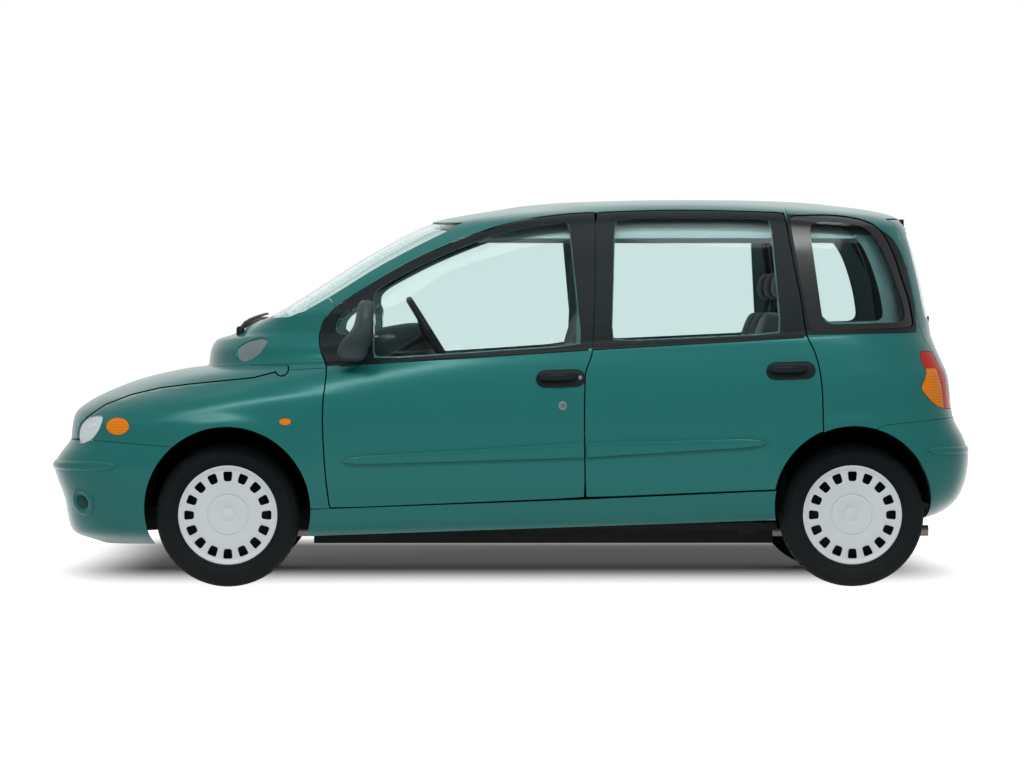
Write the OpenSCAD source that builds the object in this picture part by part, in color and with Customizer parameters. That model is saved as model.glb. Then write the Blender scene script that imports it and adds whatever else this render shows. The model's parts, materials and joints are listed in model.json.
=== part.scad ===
// Compact six-seat minivan, nose towards +X, left side towards +Y, standing on the ground plane
/* [Body] */
// Overall length from bumper to bumper
body_length = 3994; // [3600:1:4400]
// Overall width of the body sides
body_width = 1871; // [1700:1:2000]
// Height of the roof above the ground
body_height = 1670; // [1550:1:1800]
// Distance between the axles
wheelbase = 2666; // [2500:1:2800]
// Nose to front axle
front_overhang = 778; // [700:1:860]
// Gap round everything that opens
shut_gap = 6; // [5:0.5:9]
// Gap between fixed panels
seam_gap = 0.4; // [0.3:0.1:0.8]
/* [Panels] */
// Thickness of a painted skin
skin = 12; // [8:1:16]
// Depth of the doors below the belt line
door_depth = 80; // [60:1:90]
// Depth of the window frames
frame_depth = 46; // [36:1:52]
// Depth of the fixed pillars and rails
rail_depth = 68; // [62:1:74]
// Depth of the sills
sill_depth = 90; // [70:1:100]
// Thickness of the bumpers
bumper_wall = 24; // [16:1:30]
// How far the inner door panel stays inside its skin
hem = 26; // [20:1:34]
// Thickness of the panes
glass_thickness = 4; // [3:0.5:6]
// How far the panes lie under the paint
glass_inset = 5; // [3:0.5:8]
/* [Wheels] */
// Outer diameter of the tyres
tyre_diameter = 615; // [580:1:640]
// Width of the tyres
tyre_width = 195; // [175:1:215]
// Diameter of the rims
rim_diameter = 404; // [380:1:430]
// Distance between the middles of the tyres on one axle
track = 1510; // [1460:1:1540]
// Radius of the front wheel arches
front_arch_radius = 355; // [340:1:370]
// Radius of the rear wheel arches
rear_arch_radius = 337; // [325:1:350]
// Height of the front arch centre over the axle
front_arch_rise = 24; // [10:1:40]
// Height of the rear arch centre over the axle
rear_arch_rise = 45; // [20:1:60]
// Slots in each wheel cover
cover_slots = 16; // [10:1:20]
/* [Hinges] */
// Radius of the hinge pins
pin_radius = 5; // [4:0.5:6]
// Running clearance round a pin
pin_clearance = 0.3; // [0.2:0.05:0.5]
// Wall of a hinge barrel
barrel_wall = 3; // [2:0.5:4]
// Length of a hinge pin
pin_length = 70; // [50:1:90]
// Height of a hinge leaf
leaf_height = 14; // [10:1:20]
// Door edge to hinge axis
hinge_setback = 60; // [50:1:70]
// Depth of the hinge axis under the widest skin
hinge_depth = 15; // [12:1:18]
/* [Hidden] */
$fn = 48;
paint = [0.13, 0.42, 0.40];
dark = [0.05, 0.06, 0.06];
trim = [0.12, 0.13, 0.14];
silver = [0.78, 0.80, 0.82];
pane = [0.55, 0.68, 0.67];
amber = [0.84, 0.48, 0.12];
red = [0.75, 0.18, 0.12];

// Derived places
overrun = 50;
mesh_sides = 16;
arch_sides = 40;
contour_steps = 32;
half_width = body_width / 2;
front_axle = body_length / 2 - front_overhang;
rear_axle_x = front_axle - wheelbase;
axle_height = tyre_diameter / 2;
wheel_y = track / 2;
front_arch_z = axle_height + front_arch_rise;
rear_arch_z = axle_height + rear_arch_rise;

// Body surface: each row is one slanted slice, given by its front point and its rear point as
// shares of the length and the height, its half width as a share, and the roundness of its ends
slice_shares = [
    [0.451, 0.103, -0.448, 0.162, 0.855, 4.6, 5.0],
    [0.482, 0.138, -0.471, 0.183, 0.928, 5.6, 7.0],
    [0.489, 0.221, -0.489, 0.222, 0.967, 6.0, 8.5],
    [0.497, 0.275, -0.498, 0.281, 0.989, 6.0, 9.0],
    [0.500, 0.305, -0.500, 0.323, 0.995, 6.0, 9.0],
    [0.482, 0.377, -0.493, 0.383, 1.000, 5.6, 9.0],
    [0.479, 0.439, -0.4805, 0.464, 0.998, 4.6, 8.5],
    [0.465, 0.470, -0.4795, 0.500, 0.994, 4.0, 8.0],
    [0.402, 0.533, -0.4705, 0.578, 0.970, 3.1, 7.0],
    [0.358, 0.556, -0.4625, 0.623, 0.951, 3.0, 6.5],
    [0.335, 0.565, -0.459, 0.653, 0.938, 3.4, 6.0],
    [0.333, 0.599, -0.4578, 0.680, 0.914, 3.4, 6.0],
    [0.327, 0.629, -0.4563, 0.704, 0.901, 3.2, 6.0],
    [0.291, 0.666, -0.4537, 0.736, 0.883, 4.0, 6.0],
    [0.258, 0.704, -0.451, 0.769, 0.863, 5.5, 6.0],
    [0.159, 0.853, -0.439, 0.880, 0.786, 5.0, 6.0],
    [0.111, 0.916, -0.432, 0.922, 0.748, 4.2, 6.0],
    [0.091, 0.938, -0.427, 0.946, 0.727, 3.6, 4.5],
    [0.024, 0.970, -0.393, 0.973, 0.641, 2.6, 2.8],
    [-0.050, 0.992, -0.323, 0.993, 0.449, 2.2, 2.2],
    [-0.150, 1.000, -0.225, 1.000, 0.128, 2.2, 2.2]
];

// How far the rear end is bowed in plan, as a share of half a slice
rear_bow_share = 0.03;
function rounded(value, power) = sign(value) * pow(abs(value), 2 / power);
function slice_point(row, angle) =
    let (
        front = row[0] * body_length,
        rear = row[2] * body_length,
        power = cos(angle) >= 0 ? row[5] : row[6],
        bow = cos(angle) >= 0 ? 0 : rear_bow_share * pow(rounded(sin(angle), power), 2),
        x = (front + rear) / 2 + (front - rear) / 2 * rounded(cos(angle), power) * (1 - bow),
        y = row[4] * half_width * rounded(sin(angle), power),
        fall = (row[3] - row[1]) * (front - x) / (front - rear)
    ) [x, y, (row[1] + fall) * body_height];

module body_solid() {
    rows = len(slice_shares);
    points = [for (row = slice_shares) for (step = [0 : contour_steps - 1])
        slice_point(row, 360 * step / contour_steps)];
    sides = [for (i = [0 : rows - 2]) for (k = [0 : contour_steps - 1])
        let (a = i * contour_steps, n = (k + 1) % contour_steps)
        each [[a + k, a + contour_steps + k, a + n], [a + n, a + contour_steps + k, a + contour_steps + n]]];
    bottom = [for (k = [0 : contour_steps - 1]) k];
    top = [for (k = [contour_steps - 1 : -1 : 0]) (rows - 1) * contour_steps + k];
    polyhedron(points, concat(sides, [bottom, top]), convexity = 6);
}
// The body surface moved inwards by a depth, open at the bottom
module core(depth) {
    intersection() {
        scale([1 - 2 * depth / body_length, 1 - 2 * depth / body_width, 1]) body_solid();
        translate([0, 0, -depth]) body_solid();
    }
}
module one_mesh() {
    $fn = mesh_sides;
    resize([0, 0, 0]) children();
}

function side_points(shares) = [for (p = shares) [p[0] * body_length, p[1] * body_height]];
// A side-view outline through the whole car, or through its left (1) or right (-1) half
module through_side(side = 0) {
    reach = body_width + overrun;
    shift = side == 0 ? reach / 2 : side > 0 ? reach : 0;
    translate([0, shift, 0]) rotate([90, 0, 0]) linear_extrude(reach) children();
}
module outline(shares, grow = 0) offset(delta = grow) polygon(side_points(shares));
module rounded_outline(shares, radius)
    offset(r = radius) offset(delta = -radius) polygon(side_points(shares));
// A front-view outline through the front (1) or the rear (-1) half
module through_end(end) {
    reach = body_length / 2 + overrun;
    translate([end > 0 ? 0 : -reach, 0, 0]) rotate([90, 0, 90]) linear_extrude(reach) children();
}
module arch_cuts(clear = 0) {
    reach = body_width + overrun;
    for (arch = [[front_axle, front_arch_z, front_arch_radius], [rear_axle_x, rear_arch_z, rear_arch_radius]])
        translate([arch[0], reach / 2, arch[1]]) rotate([90, 0, 0])
            cylinder(h = reach, r = (arch[2] + clear) / cos(180 / arch_sides), $fn = arch_sides);
}
// A skin of one depth under the body surface, inside a side-view outline
module shell(depth, side = 0) {
    difference() {
        intersection() {
            body_solid();
            through_side(side) children();
        }
        core(depth);
    }
}
// A pane under the body surface
module pane_shell(side = 0) {
    intersection() {
        difference() {
            core(glass_inset);
            core(glass_inset + glass_thickness);
        }
        through_side(side) children();
    }
}

// Side-view outlines, as shares of the body length and the body height
front_edge_shares = [[0.196, 0.202], [0.200, 0.281], [0.203, 0.389], [0.203, 0.471], [0.200, 0.561],
    [0.207, 0.609], [0.208, 0.645], [0.203, 0.681], [0.190, 0.716], [0.146, 0.785], [0.091, 0.856],
    [0.028, 0.915], [-0.015, 0.942], [-0.058, 0.956]];
split_shares = [[-0.089, 0.960], [-0.084, 0.606], [-0.076, 0.539], [-0.076, 0.229]];
rear_edge_shares = [[-0.179, 0.966], [-0.292, 0.960], [-0.300, 0.838], [-0.308, 0.730], [-0.313, 0.644],
    [-0.320, 0.606], [-0.325, 0.565], [-0.328, 0.510], [-0.329, 0.428], [-0.329, 0.255]];
front_door_shares = concat(front_edge_shares, split_shares);
rear_door_shares = concat([for (i = [len(split_shares) - 1 : -1 : 0]) split_shares[i]], rear_edge_shares);
front_window_shares = [[0.150, 0.582], [0.150, 0.752], [0.135, 0.778], [0.080, 0.845], [0.020, 0.901],
    [-0.020, 0.924], [-0.060, 0.938], [-0.073, 0.618]];
quarter_light_shares = [[0.190, 0.648], [0.191, 0.672], [0.182, 0.698], [0.166, 0.722], [0.166, 0.640]];
rear_window_shares = [[-0.104, 0.627], [-0.109, 0.947], [-0.277, 0.947], [-0.286, 0.647]];
quarter_window_shares = [[-0.297, 0.952], [-0.304, 0.838], [-0.311, 0.730], [-0.316, 0.652], [-0.432, 0.664],
    [-0.427, 0.733], [-0.420, 0.785], [-0.409, 0.863], [-0.395, 0.919], [-0.375, 0.944], [-0.340, 0.955]];
bonnet_shares = [[0.463, 0.375], [0.460, 0.430], [0.412, 0.490], [0.347, 0.518], [0.278, 0.535],
    [0.248, 0.554], [0.248, 0.640], [0.520, 0.640], [0.520, 0.375]];
fender_shares = [[0.463, 0.375], [0.460, 0.430], [0.412, 0.490], [0.347, 0.518], [0.278, 0.535],
    [0.248, 0.554], [0.190, 0.561], [0.180, 0.202], [0.320, 0.202], [0.360, 0.359], [0.446, 0.374]];
cowl_shares = [[0.190, 0.561], [0.248, 0.554], [0.400, 0.554], [0.400, 0.800], [0.240, 0.800], [0.197, 0.736],
    [0.185, 0.700]];
rail_shares = [[0.185, 0.700], [0.197, 0.736], [0.240, 0.800], [0.330, 0.800], [0.330, 1.020],
    [-0.295, 1.020], [-0.295, 0.930], [0.000, 0.900], [0.100, 0.800]];
quarter_shares = [[-0.295, 0.930], [-0.295, 1.020], [-0.520, 1.020], [-0.520, 0.433], [-0.467, 0.431],
    [-0.396, 0.415], [-0.381, 0.400], [-0.360, 0.380], [-0.310, 0.380], [-0.300, 0.600]];
sill_shares = [[0.230, 0.129], [0.230, 0.199], [-0.076, 0.226], [-0.300, 0.250], [-0.300, 0.173]];
front_bumper_shares = [[0.520, 0.375], [0.463, 0.375], [0.446, 0.374], [0.360, 0.359], [0.300, 0.300],
    [0.300, 0.050], [0.520, 0.050]];
rear_bumper_shares = [[-0.520, 0.433], [-0.467, 0.431], [-0.396, 0.415], [-0.381, 0.400], [-0.375, 0.380],
    [-0.375, 0.050], [-0.520, 0.050]];
lamp_shares = [[-0.436, 0.603], [-0.449, 0.601], [-0.520, 0.565], [-0.520, 0.454], [-0.467, 0.454],
    [-0.452, 0.465], [-0.435, 0.506], [-0.442, 0.547], [-0.438, 0.575]];
pillar_shares = [[-0.104, 0.560], [-0.066, 0.560], [-0.072, 0.975], [-0.104, 0.975]];
// End-view outlines, one half each, as shares of the half width and the body height
tailgate_shares = [[0.00, 0.436], [0.64, 0.436], [0.68, 0.500], [0.70, 0.620], [0.695, 0.660],
    [0.675, 0.760], [0.615, 0.880], [0.57, 0.935], [0.54, 0.944], [0.00, 0.946]];
rear_screen_shares = [[0.00, 0.685], [0.60, 0.685], [0.605, 0.720], [0.59, 0.770], [0.54, 0.870],
    [0.50, 0.905], [0.00, 0.912]];
windscreen_shares = [[0.00, 0.680], [0.70, 0.690], [0.74, 0.705], [0.713, 0.800], [0.658, 0.900],
    [0.60, 0.934], [0.00, 0.940]];
mouth_bar_shares = [0.213, 0.232];
mouth_bar = 12;
mouth_shares = [[0.00, 0.195], [0.42, 0.195], [0.46, 0.215], [0.44, 0.245], [0.00, 0.250]];
// Plan outline of the roof panel, as shares of the half width and the body length
roof_half_share = 0.60;
roof_front_share = 0.091;
roof_rear_share = -0.440;
ridge_row = 10;
bonnet_corner_share = 0.248;
split_height_share = 0.56;
front_post_share = 0.54;
lamp_back_share = 0.44;

function end_points(shares) = concat(
    [for (p = shares) [p[0] * half_width, p[1] * body_height]],
    [for (i = [len(shares) - 1 : -1 : 0]) [-shares[i][0] * half_width, shares[i][1] * body_height]]);
module end_outline(shares, grow = 0) offset(delta = grow) polygon(end_points(shares));
module side_window(shares, grow = 0) offset(delta = grow) rounded_outline(shares, window_radius);
window_radius = 28;
quarter_frit = 40;
hinge_y = half_width - hinge_depth;
front_shut_share = 0.203;
rear_shut_share = -0.076;
front_hinge_x = front_shut_share * body_length - hinge_setback;
rear_hinge_x = rear_shut_share * body_length - hinge_setback;
hinge_height_shares = [0.335, 0.460];
bonnet_gap = 12;
// Lamps: places as shares of the half width, the body height and the body length
lamp_radius = 62;
lamp_places_share = [0.755, 0.402];
lamp_y = lamp_places_share[0] * half_width;
lamp_z = lamp_places_share[1] * body_height;
beam_radius = 50;
beam_places_share = [0.665, 0.606];
beam_y = beam_places_share[0] * half_width;
beam_z = beam_places_share[1] * body_height;
indicator_radius = 36;
indicator_stretch = 1.4;
indicator_places_share = [0.423, 0.411];
indicator_x = indicator_places_share[0] * body_length;
indicator_z = indicator_places_share[1] * body_height;
repeater_radius = 14;
repeater_stretch = 1.8;
repeater_places_share = [0.243, 0.424];
repeater_x = repeater_places_share[0] * body_length;
repeater_z = repeater_places_share[1] * body_height;
lens_depth = 45;

// Plan outline of the ridge below the windscreen
module ridge_zone(grow) {
    points = [for (step = [0 : contour_steps - 1])
        let (p = slice_point(slice_shares[ridge_row], 360 * step / contour_steps)) [p[0], p[1]]];
    linear_extrude(body_height) offset(delta = grow) polygon(points);
}
module bonnet_zone(grow = 0) {
    difference() {
        through_side() {
            outline(bonnet_shares, grow);
            translate([bonnet_hinge_x, bonnet_hinge_z]) circle(bonnet_tip + grow, $fn = ring_sides);
        }
        ridge_zone(bonnet_gap / 2 - grow);
    }
}
module tailgate_zone(grow = 0) through_end(-1) end_outline(tailgate_shares, grow);
module windscreen_zone(grow = 0) through_end(1) end_outline(windscreen_shares, grow);
module roof_zone(grow = 0) {
    front = roof_front_share * body_length + grow;
    rear = roof_rear_share * body_length - grow;
    half = roof_half_share * half_width + grow;
    translate([rear, -half, body_height / 2]) cube([front - rear, 2 * half, body_height]);
}
module door_zones() {
    through_side() {
        outline(front_door_shares, shut_gap / 2);
        outline(rear_door_shares, shut_gap / 2);
    }
}
// Lamp openings, each grown by a clearance
module headlamp_zone(grow = 0) {
    for (side = [-1, 1]) translate([lamp_back_share * body_length, side * lamp_y, lamp_z])
        rotate([0, 90, 0]) cylinder(h = body_length / 4, r = lamp_radius + grow);
}
module beam_zone(grow = 0) {
    for (side = [-1, 1]) translate([body_length / 5, side * beam_y, beam_z])
        rotate([0, 90, 0]) cylinder(h = body_length / 2, r = beam_radius + grow);
}
module indicator_zone(grow = 0) {
    through_side() {
        translate([indicator_x, indicator_z]) scale([indicator_stretch, 1]) circle(indicator_radius + grow);
        translate([repeater_x, repeater_z]) scale([repeater_stretch, 1]) circle(repeater_radius + grow);
    }
}

// Fixed panels
module sills() color(paint) one_mesh() difference() {
    shell(sill_depth) outline(sill_shares, -seam_gap / 2);
    arch_cuts();
}
module side_rails() color(paint) one_mesh() {
    difference() {
        shell(rail_depth) outline(rail_shares, -seam_gap / 2);
        door_zones();
        windscreen_zone(seam_gap);
        roof_zone(seam_gap);
    }
    // Centre pillars behind the meeting door frames
    difference() {
        intersection() {
            core(frame_depth + shut_gap);
            through_side() outline(pillar_shares);
        }
        core(2 * rail_depth);
    }
}
module rear_quarters() color(paint) one_mesh() difference() {
    shell(rail_depth) outline(quarter_shares, -seam_gap / 2);
    door_zones();
    arch_cuts();
    tailgate_zone(shut_gap / 2);
    roof_zone(seam_gap);
    difference() {
        through_side() outline(lamp_shares, seam_gap / 2);
        core(lens_depth + seam_gap);
    }
    difference() {
        through_side() side_window(quarter_window_shares, seam_gap);
        core(glass_inset + glass_thickness + seam_gap);
    }
    through_side() side_window(quarter_window_shares, -quarter_frit);
}
module roof_panel() color(paint) one_mesh() difference() {
    intersection() {
        body_solid();
        roof_zone();
    }
    translate([0, 0, -2 * skin]) body_solid();
    windscreen_zone(seam_gap);
    tailgate_zone(shut_gap / 2);
}
module cowl() color(paint) one_mesh() difference() {
    shell(rail_depth) outline(cowl_shares, -seam_gap / 2);
    bonnet_zone(shut_gap / 2);
    door_zones();
    beam_zone(seam_gap);
    windscreen_zone(seam_gap);
    bonnet_pockets();
}
module front_fenders() color(paint) one_mesh() difference() {
    shell(2 * skin) outline(fender_shares, -seam_gap / 2);
    bonnet_zone(shut_gap / 2);
    door_zones();
    arch_cuts();
    headlamp_zone(seam_gap);
    indicator_zone(seam_gap);
}
// Air inlet, with the bars across it left standing
module mouth_slots() through_end(1) difference() {
    end_outline(mouth_shares);
    for (share = mouth_bar_shares) translate([-half_width, share * body_height - mouth_bar / 2])
        square([body_width, mouth_bar]);
}
module front_bumper() color(paint) one_mesh() difference() {
    shell(bumper_wall) outline(front_bumper_shares, -seam_gap / 2);
    bonnet_zone(shut_gap / 2);
    arch_cuts();
    headlamp_zone(seam_gap);
    mouth_slots();
}
module rear_bumper() color(paint) one_mesh() difference() {
    shell(bumper_wall) outline(rear_bumper_shares, -seam_gap / 2);
    arch_cuts();
    tailgate_zone(shut_gap / 2);
}
module windscreen() color(pane) one_mesh() intersection() {
    difference() {
        core(glass_inset);
        core(glass_inset + glass_thickness);
    }
    windscreen_zone();
}
module quarter_glass() color(pane) one_mesh() pane_shell() side_window(quarter_window_shares);
module lens(depth) {
    difference() {
        intersection() {
            body_solid();
            children();
        }
        core(depth);
    }
}
module headlamps() color(silver) one_mesh() {
    lens(lens_depth) headlamp_zone();
    lens(lens_depth) beam_zone();
}
module indicators() color(amber) one_mesh() lens(2 * skin) indicator_zone();
module tail_lamps() color(red) one_mesh() difference() {
    shell(lens_depth) outline(lamp_shares, -seam_gap / 2);
    tailgate_zone(shut_gap / 2);
}

// Opening panels
module bonnet() color(paint) {
    one_mesh() difference() {
        intersection() {
            body_solid();
            bonnet_zone(-shut_gap / 2);
        }
        core(2 * skin);
        headlamp_zone(shut_gap);
        translate([bonnet_hinge_x, 0, bonnet_hinge_z]) rotate([90, 0, 0])
            cylinder(h = 2 * (bonnet_hinge_y + bonnet_barrel + seam_gap), r = barrel_radius + seam_gap,
                center = true);
    }
    bonnet_barrels();
}
module tailgate() color(paint) {
    one_mesh() difference() {
        tailgate_solid();
        tailgate_hinge_cuts();
    }
    tailgate_barrels();
}
module tailgate_solid() difference() {
    union() {
        difference() {
            intersection() {
                body_solid();
                tailgate_zone(-shut_gap / 2);
            }
            core(skin);
        }
        difference() {
            intersection() {
                body_solid();
                tailgate_zone(-hem - shut_gap / 2);
            }
            core(rail_depth);
        }
    }
    translate([-body_length / 4, -body_width, 0]) cube([body_length, 2 * body_width, 2 * body_height]);
    difference() {
        through_end(-1) end_outline(rear_screen_shares, seam_gap);
        core(glass_inset + glass_thickness + seam_gap);
    }
    through_end(-1) end_outline(rear_screen_shares, -quarter_frit);
}
module tailgate_glass() color(pane) one_mesh() difference() {
    intersection() {
        core(glass_inset);
        through_end(-1) end_outline(rear_screen_shares);
    }
    core(glass_inset + glass_thickness);
    translate([-body_length / 4, -body_width, 0]) cube([body_length, 2 * body_width, 2 * body_height]);
}
// A door: a full skin, a deep panel inside its hem, and a shallow frame round the window
module door(side, shares, hinge_x, hinge_line_y, windows) color(paint) {
    one_mesh() difference() {
        union() {
            shell(skin, side) outline(shares, -shut_gap / 2);
            shell(frame_depth, side) outline(shares, -hem);
            intersection() {
                shell(door_depth, side) outline(shares, -hem);
                translate([-body_length, -body_width, 0])
                    cube([2 * body_length, 2 * body_width, split_height_share * body_height]);
            }
        }
        arch_cuts(shut_gap);
        for (shares = windows) through_side() side_window(shares, seam_gap);
        for (share = hinge_height_shares) translate([hinge_x, side * hinge_line_y, share * body_height]) {
            cylinder(h = pin_length + seam_gap, r = barrel_radius + seam_gap, center = true);
            hinge_slot(side);
        }
    }
    for (share = hinge_height_shares)
        translate([hinge_x, side * hinge_line_y, share * body_height]) hinge_barrels();
}
barrel_radius = pin_radius + pin_clearance + barrel_wall;
slot_height = leaf_height + 2 * shut_gap;
leaf_depth = 4 * pin_radius;
leaf_lap = 1;
slot_bite = 1;
module hinge_slot(side) {
    width = door_depth + 2 * overrun;
    translate([-leaf_depth - shut_gap, side > 0 ? -width : slot_bite - barrel_radius, -slot_height / 2])
        cube([hinge_setback + leaf_depth + overrun, width + barrel_radius - slot_bite, slot_height]);
}
module hinge_barrels() {
    length = (pin_length - slot_height) / 2;
    for (end = [-1, 1]) translate([0, 0, end * (slot_height + length) / 2]) difference() {
        cylinder(h = length, r = barrel_radius, center = true);
        cylinder(h = length + overrun, r = pin_radius + pin_clearance, center = true);
    }
}
module front_door(side)
    door(side, front_door_shares, front_hinge_x, front_hinge_y, [front_window_shares, quarter_light_shares]);
module front_door_left() front_door(1);
module front_door_right() front_door(-1);
module rear_door_left() door(1, rear_door_shares, rear_hinge_x, hinge_y, [rear_window_shares]);
module rear_door_right() door(-1, rear_door_shares, rear_hinge_x, hinge_y, [rear_window_shares]);
module front_pane(side) color(pane) one_mesh() pane_shell(side) {
    side_window(front_window_shares);
    side_window(quarter_light_shares);
}
module rear_pane(side) color(pane) one_mesh() pane_shell(side) side_window(rear_window_shares);
module front_pane_left() front_pane(1);
module front_pane_right() front_pane(-1);
module rear_pane_left() rear_pane(1);
module rear_pane_right() rear_pane(-1);

// Structure under the panels
floor_height = 240;
floor_thickness = 24;
floor_half = 745;
floor_front = 864;
floor_step_x = -1130;
load_floor_rise = 180;
load_floor_half = 540;
floor_rear = -1780;
rail_y = 440;
rail_width = 60;
rail_height = 70;
bulkhead_height = 660;
bulkhead_wall = 20;
pad_width = 80;
pad_height = 20;
liner_wall = 6;
liner_in = 500;
liner_out = 795;
rear_liner_in = 600;
rear_liner_out = 815;
post_width = 80;
post_depth = 70;
post_setback = 60;
post_foot = 80;
post_foot_height = 150;
post_foot_out = 10;
post_foot_y = floor_half - post_foot / 2 + post_foot_out;
bonnet_hinge_x = bonnet_corner_share * body_length;
bonnet_hinge_z = 930;
bonnet_hinge_y = 705;
bonnet_barrel = 52;
bonnet_plate = 10;
bonnet_tip = 29;
tailgate_hinge_share = -0.4285;
tailgate_hinge_x = tailgate_hinge_share * body_length;
tailgate_hinge_z = 1537;
tailgate_hinge_y = 300;
tailgate_bracket = 12;
tailgate_bracket_reach = 58;
roof_lip_share = 0.9445;
tailgate_bracket_top = roof_lip_share * body_height + shut_gap / 2;
front_hinge_share = 0.993;
front_hinge_y = front_hinge_share * half_width - hinge_depth;
floor_top = floor_height + floor_thickness;

module floor_pan() color(dark) {
    translate([floor_step_x, -floor_half, floor_height])
        cube([floor_front - floor_step_x, 2 * floor_half, floor_thickness]);
    translate([floor_rear, -load_floor_half, floor_height + load_floor_rise])
        cube([floor_step_x - floor_rear + bulkhead_wall, 2 * load_floor_half, floor_thickness]);
    translate([floor_step_x, -step_half, floor_height])
        cube([bulkhead_wall, 2 * step_half, load_floor_rise + floor_thickness]);
    translate([floor_front - bulkhead_wall, -floor_half, floor_height])
        cube([bulkhead_wall, 2 * floor_half, bulkhead_height]);
    for (side = [-1, 1]) {
        translate([floor_step_x, side * rail_y - rail_width / 2, floor_height - rail_height])
            cube([floor_front - floor_step_x, rail_width, rail_height]);
        for (x = [floor_front - 3 * pad_width, floor_step_x + pad_width])
            translate([x, side * (floor_half - pad_width) - pad_width / 2, floor_height - pad_height])
                cube([pad_width, pad_width, pad_height]);
        bonnet_pin(side);
    }
}
module bonnet_pin(side) {
    face = bonnet_hinge_y - 2 * pin_clearance;
    low = floor_height + bulkhead_height - 2 * bonnet_plate;
    translate([floor_front - seam_gap, side > 0 ? face - bonnet_plate : -face, low])
        cube([bonnet_hinge_x - floor_front + 2 * pin_radius, bonnet_plate,
            bonnet_hinge_z + 2 * pin_radius - low]);
    translate([bonnet_hinge_x, side * (face - bonnet_plate / 2), bonnet_hinge_z]) rotate([-90 * side, 0, 0])
        cylinder(h = bonnet_barrel + bonnet_plate / 2, r = pin_radius);
}
// Room for the brackets and the barrels inside the cowl
module bonnet_pockets() {
    width = bonnet_plate + bonnet_barrel + 2 * shut_gap;
    mid = bonnet_hinge_y + (bonnet_barrel - bonnet_plate) / 2;
    for (side = [-1, 1]) translate([floor_front, side * mid - width / 2, 0])
        cube([bonnet_hinge_x - floor_front + bonnet_tip, width, bonnet_hinge_z + barrel_radius + shut_gap]);
}
module bonnet_barrels() {
    for (side = [-1, 1]) translate([bonnet_hinge_x, side * bonnet_hinge_y, bonnet_hinge_z])
        rotate([-90 * side, 0, 0]) difference() {
            cylinder(h = bonnet_barrel, r = barrel_radius);
            translate([0, 0, -overrun])
                cylinder(h = bonnet_barrel + 2 * overrun, r = pin_radius + pin_clearance);
        }
}
module wheel_housings() color(dark) {
    for (side = [-1, 1]) {
        liner(front_axle, front_arch_z, front_arch_radius, side, liner_in, liner_out);
        liner(rear_axle_x, rear_arch_z, rear_arch_radius, side, rear_liner_in, rear_liner_out);
    }
}
// A half drum over the wheel, closed by a wall towards the middle of the car
module liner(x, z, radius, side, inner, outer) {
    end = side * (outer - inner) / 2;
    face = end - side * liner_wall;
    rim = radius - seam_gap;
    translate([x, side * (inner + outer) / 2, z]) rotate([90, 0, 0]) rotate_extrude(angle = 180)
        polygon([[0, end], [rim, end], [rim, -end], [rim - liner_wall, -end],
            [rim - liner_wall, face], [0, face]]);
}
// Hinge posts with their leaves and pins
module door_posts() color(paint) for (side = [-1, 1]) {
    post(side, front_hinge_x, front_hinge_y, front_post_share * body_height);
    post(side, rear_hinge_x, hinge_y, split_height_share * body_height - seam_gap);
    tailgate_pin(side);
}
module post(side, x, y, top) {
    face = y - door_depth - post_setback;
    mid = side * (face - post_depth / 2);
    foot_top = floor_top + post_foot_height;
    translate([x - post_width / 2, mid - post_depth / 2, foot_top])
        cube([post_width, post_depth, top - foot_top]);
    translate([x - post_width / 2, side * post_foot_y - post_foot / 2, floor_top])
        cube([post_width, post_foot, post_foot_height]);
    for (share = hinge_height_shares) translate([x, 0, share * body_height]) {
        translate([-leaf_depth + leaf_lap, side > 0 ? face : -y, -leaf_height / 2])
            cube([leaf_depth, y - face, leaf_height]);
        translate([0, side * y, 0]) cylinder(h = pin_length, r = pin_radius, center = true);
    }
}
module tailgate_pin(side) {
    y = side * tailgate_hinge_y;
    translate([tailgate_hinge_x - pin_radius, y - tailgate_bracket / 2, tailgate_hinge_z - pin_radius])
        cube([tailgate_bracket_reach, tailgate_bracket,
            tailgate_bracket_top - tailgate_hinge_z + pin_radius]);
    translate([tailgate_hinge_x, y, tailgate_hinge_z]) rotate([90, 0, 0])
        cylinder(h = pin_length, r = pin_radius, center = true);
}
module tailgate_barrels() {
    length = (pin_length - tailgate_bracket) / 2 - shut_gap;
    shift = (pin_length - length) / 2;
    for (side = [-1, 1]) for (end = [-1, 1])
        translate([tailgate_hinge_x, side * tailgate_hinge_y + end * shift, tailgate_hinge_z])
            rotate([90, 0, 0]) difference() {
                cylinder(h = length, r = barrel_radius, center = true);
                cylinder(h = length + overrun, r = pin_radius + pin_clearance, center = true);
            }
}
module tailgate_hinge_cuts() {
    width = tailgate_bracket + 2 * shut_gap;
    for (side = [-1, 1]) translate([tailgate_hinge_x, side * tailgate_hinge_y, tailgate_hinge_z]) {
        rotate([90, 0, 0]) cylinder(h = pin_length + seam_gap, r = barrel_radius + seam_gap, center = true);
        translate([-barrel_radius - shut_gap, -width / 2, -barrel_radius - shut_gap])
            cube([2 * tailgate_bracket_reach, width, 2 * tailgate_bracket_reach]);
    }
}

// Cabin
dash_half = 690;
seat_width = 440;
seat_pitch = 470;
row_pitch = 800;
wheel_x = 360;
wheel_side_y = 440;
wheel_z = 1083;
wheel_tilt = 58;
steering_radius = 170;
grip_radius = 15;
grip_sides = 8;
spoke_depth = 12;
ring_sides = 24;
column_radius = 16;
column_length = 330;
dash_rear = floor_front - bulkhead_wall;
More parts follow.
